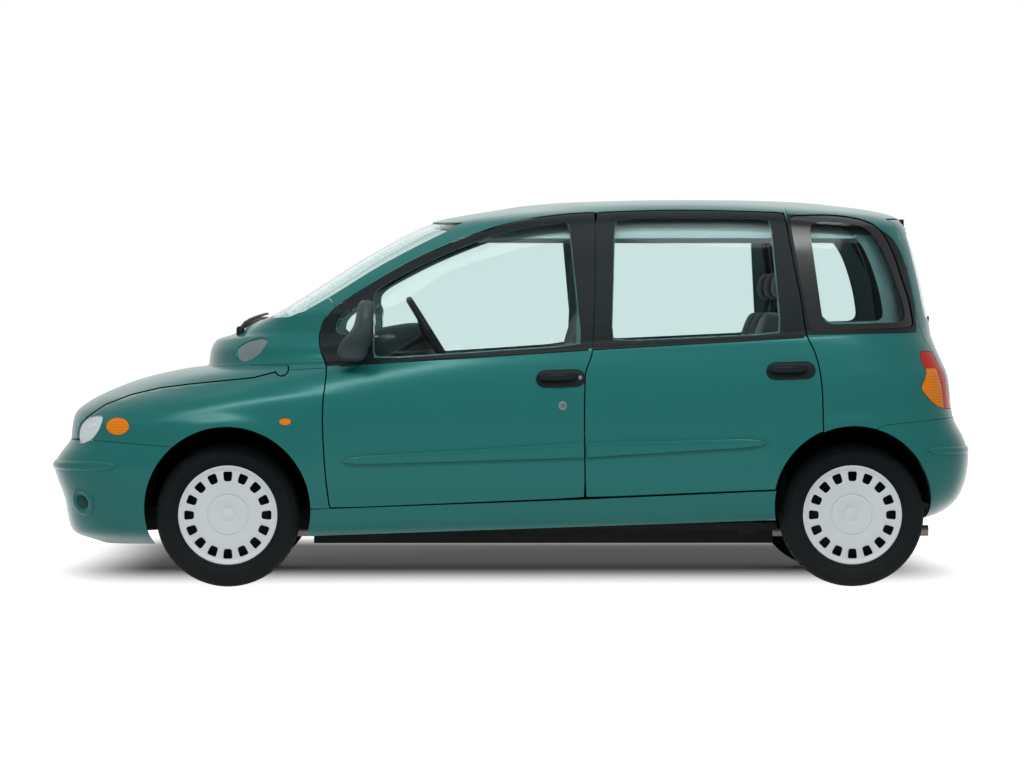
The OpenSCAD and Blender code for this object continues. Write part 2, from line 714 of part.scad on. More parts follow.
// Dashboard section, as shares of its depth behind the bulkhead and of the body height
dash_depth = 300;
dash_shares = [[0, 0.42], [0, 0.600], [-0.5, 0.622], [-0.97, 0.575], [-1, 0.49], [-0.7, 0.42]];
module steering_place() translate([wheel_x, wheel_side_y, wheel_z]) rotate([0, -wheel_tilt, 0]) children();
module dashboard() color(trim) difference() {
    translate([0, dash_half, 0]) rotate([90, 0, 0]) linear_extrude(2 * dash_half)
        polygon([for (p = dash_shares) [dash_rear + p[0] * dash_depth, p[1] * body_height]]);
    steering_place() translate([0, 0, -column_length])
        cylinder(h = column_length, r = column_radius + pin_clearance);
}
module steering_wheel() color(dark) steering_place() {
    one_mesh() {
        rotate_extrude($fn = ring_sides) translate([steering_radius, 0])
            circle(grip_radius, $fn = grip_sides);
        translate([0, 0, -2 * grip_radius]) cylinder(h = 2 * grip_radius, r = steering_radius / 3);
        for (angle = [0, 120, 240]) rotate([0, 0, angle + 60]) translate([0, -grip_radius, -grip_radius])
            cube([steering_radius, 2 * grip_radius, spoke_depth]);
    }
    translate([0, 0, -column_length + shut_gap]) cylinder(h = column_length, r = column_radius);
}
// Seat section, as shares of the seat height, from the point where cushion and back meet the floor
seat_height = 910;
seat_shares = [[0.58, 0.19], [0.58, 0.315], [0.53, 0.34], [0.14, 0.31], [-0.03, 1.00], [-0.10, 1.045],
    [-0.21, 1.02], [-0.10, 0.32], [-0.06, 0.19]];
rest_shares = [[-0.11, 1.06], [-0.11, 1.19], [-0.21, 1.19], [-0.21, 1.06]];
seat_x = -230;
riser_height = 175;
riser_length = 400;
rest_width = 270;
rest_stem = 12;
stem_share = -0.16;
stem_length = 91;
module seat() {
    for (piece = [[seat_width, seat_shares], [rest_width, rest_shares]])
        translate([0, piece[0] / 2, 0]) rotate([90, 0, 0]) linear_extrude(piece[0])
            polygon(piece[1] * seat_height);
    for (end = [-1, 1]) translate([stem_share * seat_height, end * rest_width / 4, seat_height])
        cylinder(h = stem_length, r = rest_stem);
    translate([0, -seat_width / 3, 0]) cube([riser_length, 2 * seat_width / 3, riser_height]);
}
module seat_row(x) color(trim) for (i = [-1, 0, 1]) translate([x, i * seat_pitch, floor_top]) seat();
module front_seats() seat_row(seat_x);
module rear_seats() seat_row(seat_x - row_pitch);

// Running gear
engine_length = 440;
engine_width = 760;
engine_height = 420;
frame_low = 230;
frame_height = 100;
arm_height = 26;
arm_width = 60;
beam_x = 1830;
beam_z_low = 420;
beam_half = 600;
beam_depth = 44;
beam_height = 80;
kingpin_y = 690;
kingpin_radius = 22;
kingpin_half = 110;
spindle_radius = 18;
spindle_end = 790;
tube_radius = 40;
axle_arm_y = 600;
axle_arm_width = 50;
step_half = 595;
axle_tube_x = -1270;
module engine_block() color(dark)
    translate([front_axle - engine_length / 2, -engine_width / 2, frame_low + frame_height])
        cube([engine_length, engine_width, engine_height]);
module front_subframe() color(trim) difference() {
    union() {
        translate([front_axle - engine_length / 2, -rail_y, frame_low])
            cube([engine_length, 2 * rail_y, frame_height]);
        for (side = [-1, 1]) {
            translate([floor_front, side * (rail_y - rail_width) - rail_width / 2, frame_low])
                cube([beam_x - floor_front, rail_width, frame_height]);
            translate([beam_x - rail_width, side * (rail_y - rail_width) - rail_width / 2, frame_low])
                cube([rail_width, rail_width, beam_z_low - frame_low + beam_height]);
            translate([front_axle - arm_width / 2, side > 0 ? rail_y : -kingpin_y, frame_low - arm_height])
                cube([arm_width, kingpin_y - rail_y, arm_height]);
            translate([front_axle - arm_width / 2, side > 0 ? rail_y - arm_width : -rail_y,
                frame_low - arm_height]) cube([arm_width, arm_width, 2 * arm_height]);
        }
        translate([beam_x, -beam_half, beam_z_low]) cube([beam_depth, 2 * beam_half, beam_height]);
    }
    for (side = [-1, 1]) translate([front_axle, side * kingpin_y, frame_low - arm_height - overrun])
        cylinder(h = arm_height + 2 * overrun, r = spindle_radius + pin_clearance);
}
module knuckle(side) color(silver) translate([front_axle, side * kingpin_y, 0]) {
    translate([0, 0, frame_low + pin_clearance]) cylinder(h = 2 * kingpin_half, r = kingpin_radius);
    translate([0, 0, frame_low - arm_height]) cylinder(h = arm_height + kingpin_half, r = spindle_radius);
    translate([0, 0, axle_height]) rotate([-90 * side, 0, 0])
        cylinder(h = spindle_end - kingpin_y, r = spindle_radius);
}
module knuckle_left() knuckle(1);
module knuckle_right() knuckle(-1);
module rear_axle() color(trim) {
    translate([axle_tube_x, -axle_arm_y, axle_height]) rotate([-90, 0, 0])
        cylinder(h = 2 * axle_arm_y, r = tube_radius);
    for (side = [-1, 1]) {
        translate([rear_axle_x - tube_radius, side * axle_arm_y - axle_arm_width / 2,
            axle_height - tube_radius / 2]) cube([floor_step_x - rear_axle_x + tube_radius, axle_arm_width, tube_radius]);
        translate([rear_axle_x, side * axle_arm_y, axle_height]) rotate([-90 * side, 0, 0])
            cylinder(h = spindle_end - axle_arm_y, r = spindle_radius);
    }
}
tank_length = 560;
tank_width = 330;
tank_front = -300;
tank_height = 90;
module fuel_tank() color(trim)
    translate([tank_front - tank_length, -rail_y + rail_width / 2 + seam_gap, floor_height - tank_height])
        cube([tank_length, tank_width, tank_height]);
pipe_radius = 24;
pipe_y = 300;
silencer_radius = 75;
silencer_length = 360;
silencer_x = -1600;
tail_pipe = 225;
module exhaust() color(silver) {
    z = floor_height - pipe_radius - pin_clearance;
    translate([silencer_x - tail_pipe, pipe_y, z]) rotate([0, 90, 0])
        cylinder(h = front_axle - engine_length / 2 - silencer_x + tail_pipe, r = pipe_radius);
    translate([silencer_x, pipe_y - silencer_length / 2, z]) rotate([-90, 0, 0])
        cylinder(h = silencer_length, r = silencer_radius);
}

// Wheels, turning about Y
rim_half = 76;
rim_wall = 12;
cover_depth = 10;
disc_depth = 14;
disc_inset = 40;
hub_radius = 42;
slot_inner_share = 0.70;
slot_outer_share = 0.925;
slot_width = 38;
slot_inner_width = 30.4;
cap_depth = 16;
dish_depth = 12;
tyre_shoulder = 26;
// Half sections: shares of the tyre shoulder in from the crown and in from the side wall
shoulder_shares = [[1.6, 0], [0.4, 0.5], [0, 1]];
module tyre_shape() {
    half = tyre_width / 2;
    bead = rim_diameter / 2;
    crown = tyre_diameter / 2;
    outer = [for (p = shoulder_shares) [crown - p[0] * tyre_shoulder, half - p[1] * tyre_shoulder]];
    side = concat([[bead, rim_half], [bead + tyre_shoulder, half]], outer);
    rotate([90, 0, 0]) rotate_extrude()
        polygon(concat(side, [for (i = [len(side) - 1 : -1 : 0]) [side[i][0], -side[i][1]]]));
}
module wheel_shape() {
    rim = rim_diameter / 2;
    bore = spindle_radius + pin_clearance;
    back = -rim_half + 2 * disc_inset;
    slot_length = rim * (slot_outer_share - slot_inner_share);
    difference() {
        rotate([90, 0, 0]) rotate_extrude() polygon([
            [bore, back], [bore, cap_depth - rim_half], [hub_radius, cap_depth - rim_half],
            [2 * hub_radius, dish_depth - rim_half], [rim * slot_outer_share, cover_depth - rim_half],
            [rim, -rim_half], [rim, rim_half], [rim - rim_wall, rim_half],
            [rim - rim_wall, 2 * disc_depth - rim_half], [2 * hub_radius, dish_depth + disc_depth - rim_half],
            [hub_radius, disc_inset - rim_half], [hub_radius, back]]);
        for (i = [0 : cover_slots - 1]) rotate([0, i * 360 / cover_slots, 0])
            translate([rim * slot_inner_share, 0, 0]) rotate([-90, 0, 0]) linear_extrude(2 * rim_half)
                polygon([[0, -slot_inner_width / 2], [slot_length, -slot_width / 2],
                    [slot_length, slot_width / 2], [0, slot_inner_width / 2]]);
    }
}
module wheel_place(x, side)
    translate([x, side * wheel_y, axle_height]) rotate([0, 0, side > 0 ? 0 : 180]) children();
module tyre_front_left() color(dark) wheel_place(front_axle, 1) tyre_shape();
module tyre_front_right() color(dark) wheel_place(front_axle, -1) tyre_shape();
module tyre_rear_left() color(dark) wheel_place(rear_axle_x, 1) tyre_shape();
module tyre_rear_right() color(dark) wheel_place(rear_axle_x, -1) tyre_shape();
module wheel_front_left() color(silver) wheel_place(front_axle, 1) wheel_shape();
module wheel_front_right() color(silver) wheel_place(front_axle, -1) wheel_shape();
module wheel_rear_left() color(silver) wheel_place(rear_axle_x, 1) wheel_shape();
module wheel_rear_right() color(silver) wheel_place(rear_axle_x, -1) wheel_shape();

// Door mirrors
mirror_x = 669;
mirror_y = 955;
mirror_z = 1098;
mirror_long = 70;
mirror_wide = 88;
mirror_tall = 135;
neck_radius = 32;
module mirror(side) color(trim) one_mesh() difference() {
    union() {
        translate([mirror_x, side * mirror_y, mirror_z])
            scale([mirror_long, mirror_wide, mirror_tall]) sphere(1);
        translate([mirror_x, side * mirror_y, mirror_z - mirror_tall / 2]) rotate([90 * side, 0, 0])
            cylinder(h = 5 * neck_radius, r = neck_radius);
    }
    scale([1, 1 + 2 * seam_gap / body_width, 1]) body_solid();
}
module mirror_left() mirror(1);
module mirror_right() mirror(-1);

floor_pan();
wheel_housings();
door_posts();
sills();
side_rails();
rear_quarters();
roof_panel();
cowl();
front_fenders();
front_bumper();
rear_bumper();
windscreen();
quarter_glass();
headlamps();
indicators();
tail_lamps();
dashboard();
front_seats();
rear_seats();
engine_block();
fuel_tank();
exhaust();
front_subframe();
rear_axle();
bonnet();
tailgate();
tailgate_glass();
front_door_left();
front_door_right();
rear_door_left();
rear_door_right();
front_pane_left();
front_pane_right();
rear_pane_left();
rear_pane_right();
mirror_left();
mirror_right();
steering_wheel();
knuckle_left();
knuckle_right();
tyre_front_left();
tyre_front_right();
tyre_rear_left();
tyre_rear_right();
wheel_front_left();
wheel_front_right();
wheel_rear_left();
wheel_rear_right();
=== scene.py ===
"""Painted panels, glass, lamps, trim, wheels, cabin and studio of a compact six-seat minivan."""

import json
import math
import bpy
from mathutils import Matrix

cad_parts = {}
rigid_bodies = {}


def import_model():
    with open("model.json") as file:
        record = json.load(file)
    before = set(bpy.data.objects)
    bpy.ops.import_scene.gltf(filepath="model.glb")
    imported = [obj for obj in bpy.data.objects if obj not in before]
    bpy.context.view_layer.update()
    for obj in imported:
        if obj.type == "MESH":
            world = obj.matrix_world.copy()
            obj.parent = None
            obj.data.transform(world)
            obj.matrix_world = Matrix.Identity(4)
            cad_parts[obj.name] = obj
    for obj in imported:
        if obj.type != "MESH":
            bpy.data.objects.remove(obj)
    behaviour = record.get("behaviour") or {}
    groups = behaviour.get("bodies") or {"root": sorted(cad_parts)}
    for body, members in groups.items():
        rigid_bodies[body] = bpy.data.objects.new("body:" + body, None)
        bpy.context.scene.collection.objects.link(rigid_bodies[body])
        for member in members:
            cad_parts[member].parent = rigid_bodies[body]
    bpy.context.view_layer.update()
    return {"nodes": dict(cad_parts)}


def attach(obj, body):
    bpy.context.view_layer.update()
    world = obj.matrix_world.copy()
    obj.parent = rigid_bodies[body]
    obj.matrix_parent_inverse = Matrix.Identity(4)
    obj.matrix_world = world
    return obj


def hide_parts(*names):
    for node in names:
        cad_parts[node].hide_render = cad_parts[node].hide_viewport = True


bl_info = {
    "name": "Compact minivan",
    "version": (1, 0, 0),
    "blender": (4, 5, 0),
    "location": "View3D > Sidebar > Minivan",
    "description": "Builds the visible pieces of a six-seat minivan over its packed solids",
    "category": "Object",
}

import bmesh
import bpy
import numpy as np
from bpy.props import FloatProperty, FloatVectorProperty, IntProperty, PointerProperty
from mathutils import Matrix, Vector
from mathutils.bvhtree import BVHTree

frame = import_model()


def shade(red, green, blue):
    """A colour as it is read off a picture, in the linear values that shaders use."""
    return tuple(v / 12.92 if v <= 0.04045 else ((v + 0.055) / 1.055) ** 2.4
                 for v in (red / 255, green / 255, blue / 255))


def size(name, text, default, low, high):
    """A length that a user may change."""
    return FloatProperty(name=name, description=text, default=default, min=low, max=high,
                         unit="LENGTH", precision=4)


def tint(name, text, colour):
    """A colour that a user may change."""
    return FloatVectorProperty(name=name, description=text, default=colour, min=0.0, max=1.0,
                               size=3, subtype="COLOR")


class VanBody(bpy.types.PropertyGroup):
    """The shell: its overall size, its gaps and its paint."""
    length: size("Length", "Bumper to bumper", 3.994, 3.6, 4.4)
    width: size("Width", "Across the doors", 1.871, 1.7, 2.0)
    height: size("Height", "Ground to roof", 1.670, 1.55, 1.8)
    gap: size("Shut gap", "Gap round the opening panels", 0.006, 0.003, 0.009)
    seam: size("Seam", "Gap between fixed panels", 0.002, 0.0005, 0.004)
    paint: tint("Paint", "Metallic body colour", shade(14, 95, 92))
    flake: tint("Flake", "Colour of the flake where the paint faces the light", shade(44, 126, 122))


class VanTrim(bpy.types.PropertyGroup):
    """Black parts, lamps and glass."""
    black: tint("Black", "Moulded black plastic", shade(12, 22, 25))
    glass: tint("Glass", "Tint of the panes", shade(203, 227, 225))
    amber: tint("Amber", "Indicator lenses", shade(232, 132, 26))
    red: tint("Red", "Tail lamp lenses", shade(196, 40, 22))
    strip: size("Rub strip", "How far the rub strips stand out", 0.012, 0.004, 0.015)


class VanWheels(bpy.types.PropertyGroup):
    """Tyres and wheel covers."""
    slots: IntProperty(name="Slots", description="Slots in each wheel cover", default=16, min=10, max=20)
    tread: size("Tread depth", "Depth of the grooves", 0.007, 0.003, 0.009)
    cover: tint("Cover", "Silver of the wheel covers", shade(206, 213, 215))
    rubber: tint("Rubber", "Tyre rubber", shade(12, 18, 20))


class VanCabin(bpy.types.PropertyGroup):
    """Seats and dashboard."""
    cloth: tint("Cloth", "Seat covers", shade(34, 48, 50))
    dash: tint("Dashboard", "Moulded dashboard", shade(30, 44, 45))
    crown: size("Crown", "How far a seat cushion swells", 0.018, 0.0, 0.03)


class VanStage(bpy.types.PropertyGroup):
    """Floor, light and camera."""
    floor: tint("Floor", "Plain pale floor", shade(240, 240, 240))
    # Painted shadow: the floor's colour in the patch under and behind the car
    shade: tint("Shaded floor", "Floor where the shadow lies", shade(120, 120, 120))
    lift: FloatProperty(name="Lift", description="Glow of the floor for the rays that show the background",
                        default=1.0, min=0.0, max=1.0)
    sky: FloatProperty(name="Sky", description="Strength of the soft light from all round", default=0.27,
                       min=0.0, max=1.0)
    lens: FloatProperty(name="Lens", description="Focal length of the camera", default=158.0, min=20.0,
                        max=300.0, unit="CAMERA")


# Slices through the shell, from the bottom up: front X, front Z, rear X, rear Z and half width as
# shares of the length, height and half width, then how square the front and the rear of a slice are
SLICES = (
    (0.451, 0.103, -0.448, 0.162, 0.855, 4.6, 5.0), (0.482, 0.138, -0.471, 0.183, 0.928, 5.6, 7.0),
    (0.489, 0.221, -0.489, 0.222, 0.967, 6.0, 8.5), (0.497, 0.275, -0.498, 0.281, 0.989, 6.0, 9.0),
    (0.500, 0.305, -0.500, 0.323, 0.995, 6.0, 9.0), (0.494, 0.335, -0.498, 0.353, 0.999, 5.8, 9.0),
    (0.482, 0.377, -0.493, 0.383, 1.000, 5.6, 9.0), (0.481, 0.413, -0.483, 0.431, 1.000, 5.2, 9.0),
    (0.479, 0.439, -0.4805, 0.464, 0.998, 4.6, 8.5), (0.465, 0.470, -0.4795, 0.500, 0.994, 4.0, 8.0),
    (0.440, 0.501, -0.477, 0.539, 0.985, 3.4, 7.5), (0.402, 0.533, -0.4705, 0.578, 0.970, 3.1, 7.0),
    (0.358, 0.556, -0.4625, 0.623, 0.951, 3.0, 6.5), (0.335, 0.565, -0.459, 0.653, 0.938, 3.4, 6.0),
    (0.334, 0.581, -0.4585, 0.665, 0.922, 3.4, 6.0), (0.333, 0.599, -0.4578, 0.680, 0.914, 3.4, 6.0),
    (0.327, 0.629, -0.4563, 0.704, 0.901, 3.2, 6.0), (0.308, 0.645, -0.455, 0.719, 0.893, 3.5, 6.0),
    (0.291, 0.666, -0.4537, 0.736, 0.883, 4.0, 6.0), (0.258, 0.704, -0.451, 0.769, 0.863, 5.5, 6.0),
    (0.201, 0.789, -0.4442, 0.837, 0.818, 5.5, 6.0), (0.159, 0.853, -0.439, 0.880, 0.786, 5.0, 6.0),
    (0.111, 0.916, -0.432, 0.922, 0.748, 4.2, 6.0), (0.091, 0.938, -0.427, 0.946, 0.727, 3.6, 4.5),
    (0.057, 0.957, -0.413, 0.962, 0.690, 3.0, 3.5), (0.024, 0.970, -0.393, 0.973, 0.641, 2.6, 2.8),
    (-0.009, 0.983, -0.360, 0.984, 0.556, 2.4, 2.4), (-0.050, 0.992, -0.323, 0.993, 0.449, 2.2, 2.2),
    (-0.105, 0.997, -0.270, 0.998, 0.289, 2.2, 2.2), (-0.150, 1.000, -0.225, 1.000, 0.128, 2.2, 2.2),
)
REAR_BOW = 0.03  # How much of its length the rear of a slice bows in
FLARE = (0.070, 0.012)  # Width and height of the lip round a wheel arch
RIDGE = 13  # The slice at the foot of the windscreen's ridge
RING, FINE = 224, 5  # Points round a slice, and steps from one slice to the next
# Reaches past the car: along it (for planes and for outlines), to each side and up
FAR, END, WIDE, TALL = 3.0, 2.2, 1.2, 3.0
STRIP_TUCK = 0.004  # How deep a strip's edge sits in the panel below it

# Side-view outlines, as shares of the length and the height
FRONT_EDGE = ((0.196, 0.202), (0.200, 0.281), (0.203, 0.389), (0.203, 0.471), (0.200, 0.561),
              (0.207, 0.609), (0.208, 0.645), (0.203, 0.681), (0.190, 0.716), (0.146, 0.785),
              (0.091, 0.856), (0.028, 0.915), (-0.015, 0.942), (-0.058, 0.956))
DOOR_SPLIT = ((-0.089, 0.960), (-0.084, 0.606), (-0.076, 0.539), (-0.076, 0.229))
REAR_EDGE = ((-0.179, 0.966), (-0.292, 0.960), (-0.300, 0.838), (-0.308, 0.730), (-0.313, 0.644),
             (-0.320, 0.606), (-0.325, 0.565), (-0.328, 0.510), (-0.329, 0.428), (-0.329, 0.255))
FRONT_DOOR = FRONT_EDGE + DOOR_SPLIT
REAR_DOOR = DOOR_SPLIT[::-1] + REAR_EDGE
FRONT_WINDOW = ((0.150, 0.582), (0.150, 0.752), (0.135, 0.778), (0.080, 0.845), (0.020, 0.901),
                (-0.020, 0.924), (-0.060, 0.938), (-0.073, 0.618))
QUARTER_LIGHT = ((0.190, 0.648), (0.191, 0.672), (0.182, 0.698), (0.166, 0.722), (0.166, 0.640))
REAR_WINDOW = ((-0.104, 0.627), (-0.109, 0.947), (-0.277, 0.947), (-0.286, 0.647))
QUARTER_WINDOW = ((-0.297, 0.952), (-0.304, 0.838), (-0.311, 0.730), (-0.316, 0.652), (-0.432, 0.664),
                  (-0.427, 0.733), (-0.420, 0.785), (-0.409, 0.863), (-0.395, 0.919), (-0.375, 0.944),
                  (-0.340, 0.955))
BONNET_SEAM = ((0.463, 0.375), (0.460, 0.430), (0.4385, 0.4655), (0.412, 0.490), (0.381, 0.5075), (0.347, 0.518),
               (0.278, 0.535), (0.248, 0.554))
BONNET = BONNET_SEAM + ((0.248, 0.640), (0.520, 0.640), (0.520, 0.375))
FENDER = BONNET_SEAM + ((0.190, 0.561), (0.180, 0.202), (0.320, 0.202), (0.360, 0.359), (0.446, 0.374))
COWL = ((0.190, 0.561), (0.248, 0.554), (0.400, 0.554), (0.400, 0.800), (0.240, 0.800), (0.197, 0.736),
        (0.185, 0.700))
RAIL = ((0.185, 0.700), (0.197, 0.736), (0.240, 0.800), (0.330, 0.800), (0.330, 1.020), (-0.295, 1.020),
        (-0.295, 0.930), (0.000, 0.900), (0.100, 0.800))
QUARTER = ((-0.295, 0.930), (-0.295, 1.020), (-0.520, 1.020), (-0.520, 0.433), (-0.467, 0.431),
           (-0.396, 0.415), (-0.381, 0.400), (-0.360, 0.380), (-0.310, 0.380), (-0.300, 0.600))
SILL = ((0.230, 0.129), (0.230, 0.199), (-0.076, 0.226), (-0.300, 0.250), (-0.300, 0.173))
FRONT_BUMPER = ((0.520, 0.375), (0.463, 0.375), (0.446, 0.374), (0.360, 0.359), (0.300, 0.300),
                (0.300, 0.050), (0.520, 0.050))
REAR_BUMPER = ((-0.520, 0.433), (-0.467, 0.431), (-0.396, 0.415), (-0.381, 0.400), (-0.375, 0.380),
               (-0.375, 0.050), (-0.520, 0.050))
TAIL_LAMP = ((-0.436, 0.603), (-0.449, 0.601), (-0.520, 0.565), (-0.520, 0.454), (-0.467, 0.454),
             (-0.452, 0.465), (-0.435, 0.506), (-0.442, 0.547), (-0.438, 0.575))
QUARTER_CLEAR = ((-0.318, 0.935), (-0.325, 0.790), (-0.331, 0.670), (-0.423, 0.677), (-0.418, 0.733), (-0.410, 0.790),
                 (-0.398, 0.860), (-0.383, 0.912), (-0.362, 0.931))
TAIL_AMBER = ((-0.428, 0.556), (-0.4545, 0.559), (-0.460, 0.506), (-0.4625, 0.450), (-0.450, 0.450), (-0.428, 0.490))
QUARTER_BLACK = ((-0.280, 0.9600), (-0.353, 0.9445), (-0.387, 0.9257), (-0.4095, 0.8946), (-0.4225, 0.8356),
                 (-0.4315, 0.7546), (-0.4350, 0.6490), (-0.3050, 0.6435))
PILLAR = ((-0.104, 0.56), (-0.066, 0.56), (-0.072, 0.975), (-0.104, 0.975))
BELOW_DOORS = ((0.206, 0.165), (0.206, 0.300), (-0.292, 0.300), (-0.292, 0.190))
BELT = ((0.30, 0.5500), (0.19, 0.5656), (-0.0775, 0.6090), (-0.315, 0.6420), (-0.52, 0.6650), (-0.52, 1.1),
        (0.30, 1.1))
# End-view outlines, one half each, as shares of the half width and the height
TAILGATE = ((0.00, 0.436), (0.64, 0.436), (0.68, 0.500), (0.70, 0.620), (0.695, 0.660), (0.675, 0.760),
            (0.615, 0.880), (0.57, 0.935), (0.54, 0.944), (0.00, 0.946))
REAR_SCREEN = ((0.00, 0.685), (0.60, 0.685), (0.605, 0.720), (0.59, 0.770), (0.54, 0.870), (0.50, 0.905),
               (0.00, 0.912))
WINDSCREEN = ((0.00, 0.680), (0.70, 0.690), (0.74, 0.705), (0.713, 0.800), (0.658, 0.900), (0.60, 0.934),
              (0.00, 0.940))
MOUTH = ((0.00, 0.195), (0.42, 0.195), (0.46, 0.215), (0.44, 0.245), (0.00, 0.250))
# X, Z and radius of the wheel arches
AXLES = ((1.219, 0.3315, 0.355), (-1.447, 0.3525, 0.337))
HUB_Y, HUB_Z = 0.755, 0.3075


def scaled(shares, across, up):
    """An outline in metres from its shares of two sizes."""
    return [Vector((a * across, b * up)) for a, b in shares]


def grown(points, by):
    """A closed outline moved outwards by a distance, with sharp corners."""
    area = sum(a.x * b.y - b.x * a.y for a, b in zip(points, points[1:] + points[:1]))
    turn = 1 if area > 0 else -1
    out = []
    for i, p in enumerate(points):
        before, after = (p - points[i - 1]).normalized(), (points[(i + 1) % len(points)] - p).normalized()
        n1, n2 = Vector((before.y, -before.x)) * turn, Vector((after.y, -after.x)) * turn
        middle = n1 + n2
        out.append(p + middle * (by / max(0.25, 1 + n1.dot(n2))))
    return out


def curved(points, radius, sharp=42, steps=8):
    """A closed outline with its gentle bends drawn as curves and its corners rounded."""
    count, out = len(points), []
    angle = [math.degrees((p - points[i - 1]).angle(points[(i + 1) % count] - p)) for i, p in enumerate(points)]
    for i in range(count):
        p0, p1, p2, p3 = (points[(i + k) % count] for k in (-1, 0, 1, 2))
        span = (p2 - p1).length
        t1 = p2 - p1 if angle[i] > sharp else (p2 - p0).normalized() * span
        t2 = p2 - p1 if angle[(i + 1) % count] > sharp else (p3 - p1).normalized() * span
        for k in range(steps):
            t = k / steps
            a, b = (2 * t - 3) * t * t + 1, ((t - 2) * t + 1) * t
            out.append((p1 * a + p2 * (1 - a) + t1 * b + t2 * (t - 1) * t * t, k == 0 and angle[i] > sharp))
    places = [p for p, _ in out]
    for i, (p, corner) in enumerate(out):
        if not corner or radius <= 0:
            continue
        ends = []
        for step in (-1, 1):
            k, left, here = i, radius, p
            while left > 0:
                there = out[(k + step) % len(out)][0]
                reach = (there - here).length
                if reach >= left or abs(k + step - i) >= steps:
                    ends.append((k + step, here.lerp(there, min(1.0, left / max(reach, 1e-9)))))
                    break
                k, left, here = k + step, left - reach, there
        (k1, a), (k2, b) = ends
        inner = list(range(k1 + 1, k2))
        for n, k in enumerate(inner):
            t = (n + 0.5) / len(inner) if len(inner) > 1 else 0.5
            places[k % len(out)] = a * (1 - t) ** 2 + p * 2 * t * (1 - t) + b * t * t
    return [p for i, p in enumerate(places) if (p - places[i - 1]).length > 2e-4]


def mirrored(half):
    """A whole end-view outline from its left half."""
    return list(half) + [Vector((-p.x, p.y)) for p in reversed(half) if abs(p.x) > 1e-9]


def new_object(name, bm):
    """An object, not yet in the scene, from a bmesh that is used up."""
    mesh = bpy.data.meshes.new(name)
    bm.to_mesh(mesh)
    bm.free()
    return bpy.data.objects.new(name, mesh)


def sealed(name, bm):
    """An object whose open edges are filled and whose faces look outwards."""
    bmesh.ops.holes_fill(bm, edges=[e for e in bm.edges if e.is_boundary], sides=0)
    bmesh.ops.recalc_face_normals(bm, faces=bm.faces)
    return new_object(name, bm)


def bridged(name, bm, rings):
    """A closed tube through rings of vertices."""
    for a, b in zip(rings, rings[1:]):
        edges = [e for e in bm.edges if all(v in a for v in e.verts) or all(v in b for v in e.verts)]
        bmesh.ops.bridge_loops(bm, edges=edges)
    return sealed(name, bm)


def new_verts(result):
    """The vertices among what a bmesh operator made."""
    return [v for v in result["geom"] if isinstance(v, bmesh.types.BMVert)]


def eased(t, start, end, slope0, slope1):
    """A point on the smooth curve between two values with given slopes."""
    return ((2 * t ** 3 - 3 * t ** 2 + 1) * start + (t ** 3 - 2 * t ** 2 + t) * slope0
            + (3 * t ** 2 - 2 * t ** 3) * end + (t ** 3 - t ** 2) * slope1)


def prism(points, axis, low, high):
    """An outline in end view (axis 0), side view (1) or plan (2), made solid from one plane to another."""
    bm = bmesh.new()
    spot = (lambda p: (low, p.x, p.y), lambda p: (p.x, low, p.y), lambda p: (p.x, p.y, low))[axis]
    face = bm.faces.new([bm.verts.new(spot(p)) for p in points])
    swept = new_verts(bmesh.ops.extrude_face_region(bm, geom=[face]))
    reach = Vector((0, 0, 0))
    reach[axis] = high - low
    bmesh.ops.translate(bm, vec=reach, verts=swept)
    bmesh.ops.recalc_face_normals(bm, faces=bm.faces)
    return new_object("tool", bm)


def drum(x, y, z, radius, depth, axis, sides=64, stretch=1.0):
    """A round tool along X (axis 0), Y (1) or Z (2)."""
    bm = bmesh.new()
    bmesh.ops.create_cone(bm, cap_ends=True, segments=sides, radius1=radius, radius2=radius, depth=depth)
    bmesh.ops.scale(bm, vec=(1, stretch, 1), verts=bm.verts)
    quarter = math.pi / 2
    turn = (Matrix.Rotation(quarter, 3, "Y"), Matrix.Rotation(quarter, 3, "X") @ Matrix.Rotation(quarter, 3, "Z"),
            Matrix.Identity(3))[axis]
    bmesh.ops.rotate(bm, matrix=turn, verts=bm.verts)
    bmesh.ops.translate(bm, vec=(x, y, z), verts=bm.verts)
    return new_object("tool", bm)


def block(low, high):
    """A box from one corner to the opposite one."""
    bm = bmesh.new()
    bmesh.ops.create_cube(bm, size=1.0)
    low, high = Vector(low), Vector(high)
    bmesh.ops.scale(bm, vec=high - low, verts=bm.verts)
    bmesh.ops.translate(bm, vec=(low + high) / 2, verts=bm.verts)
    return new_object("tool", bm)


def ahead_of(x):
    """A tool for everything ahead of a plane."""
    return block((x, -WIDE, 0), (FAR, WIDE, TALL))


def back_of(x):
    """A tool for everything behind a plane."""
    return block((-FAR, -WIDE, 0), (x, WIDE, TALL))


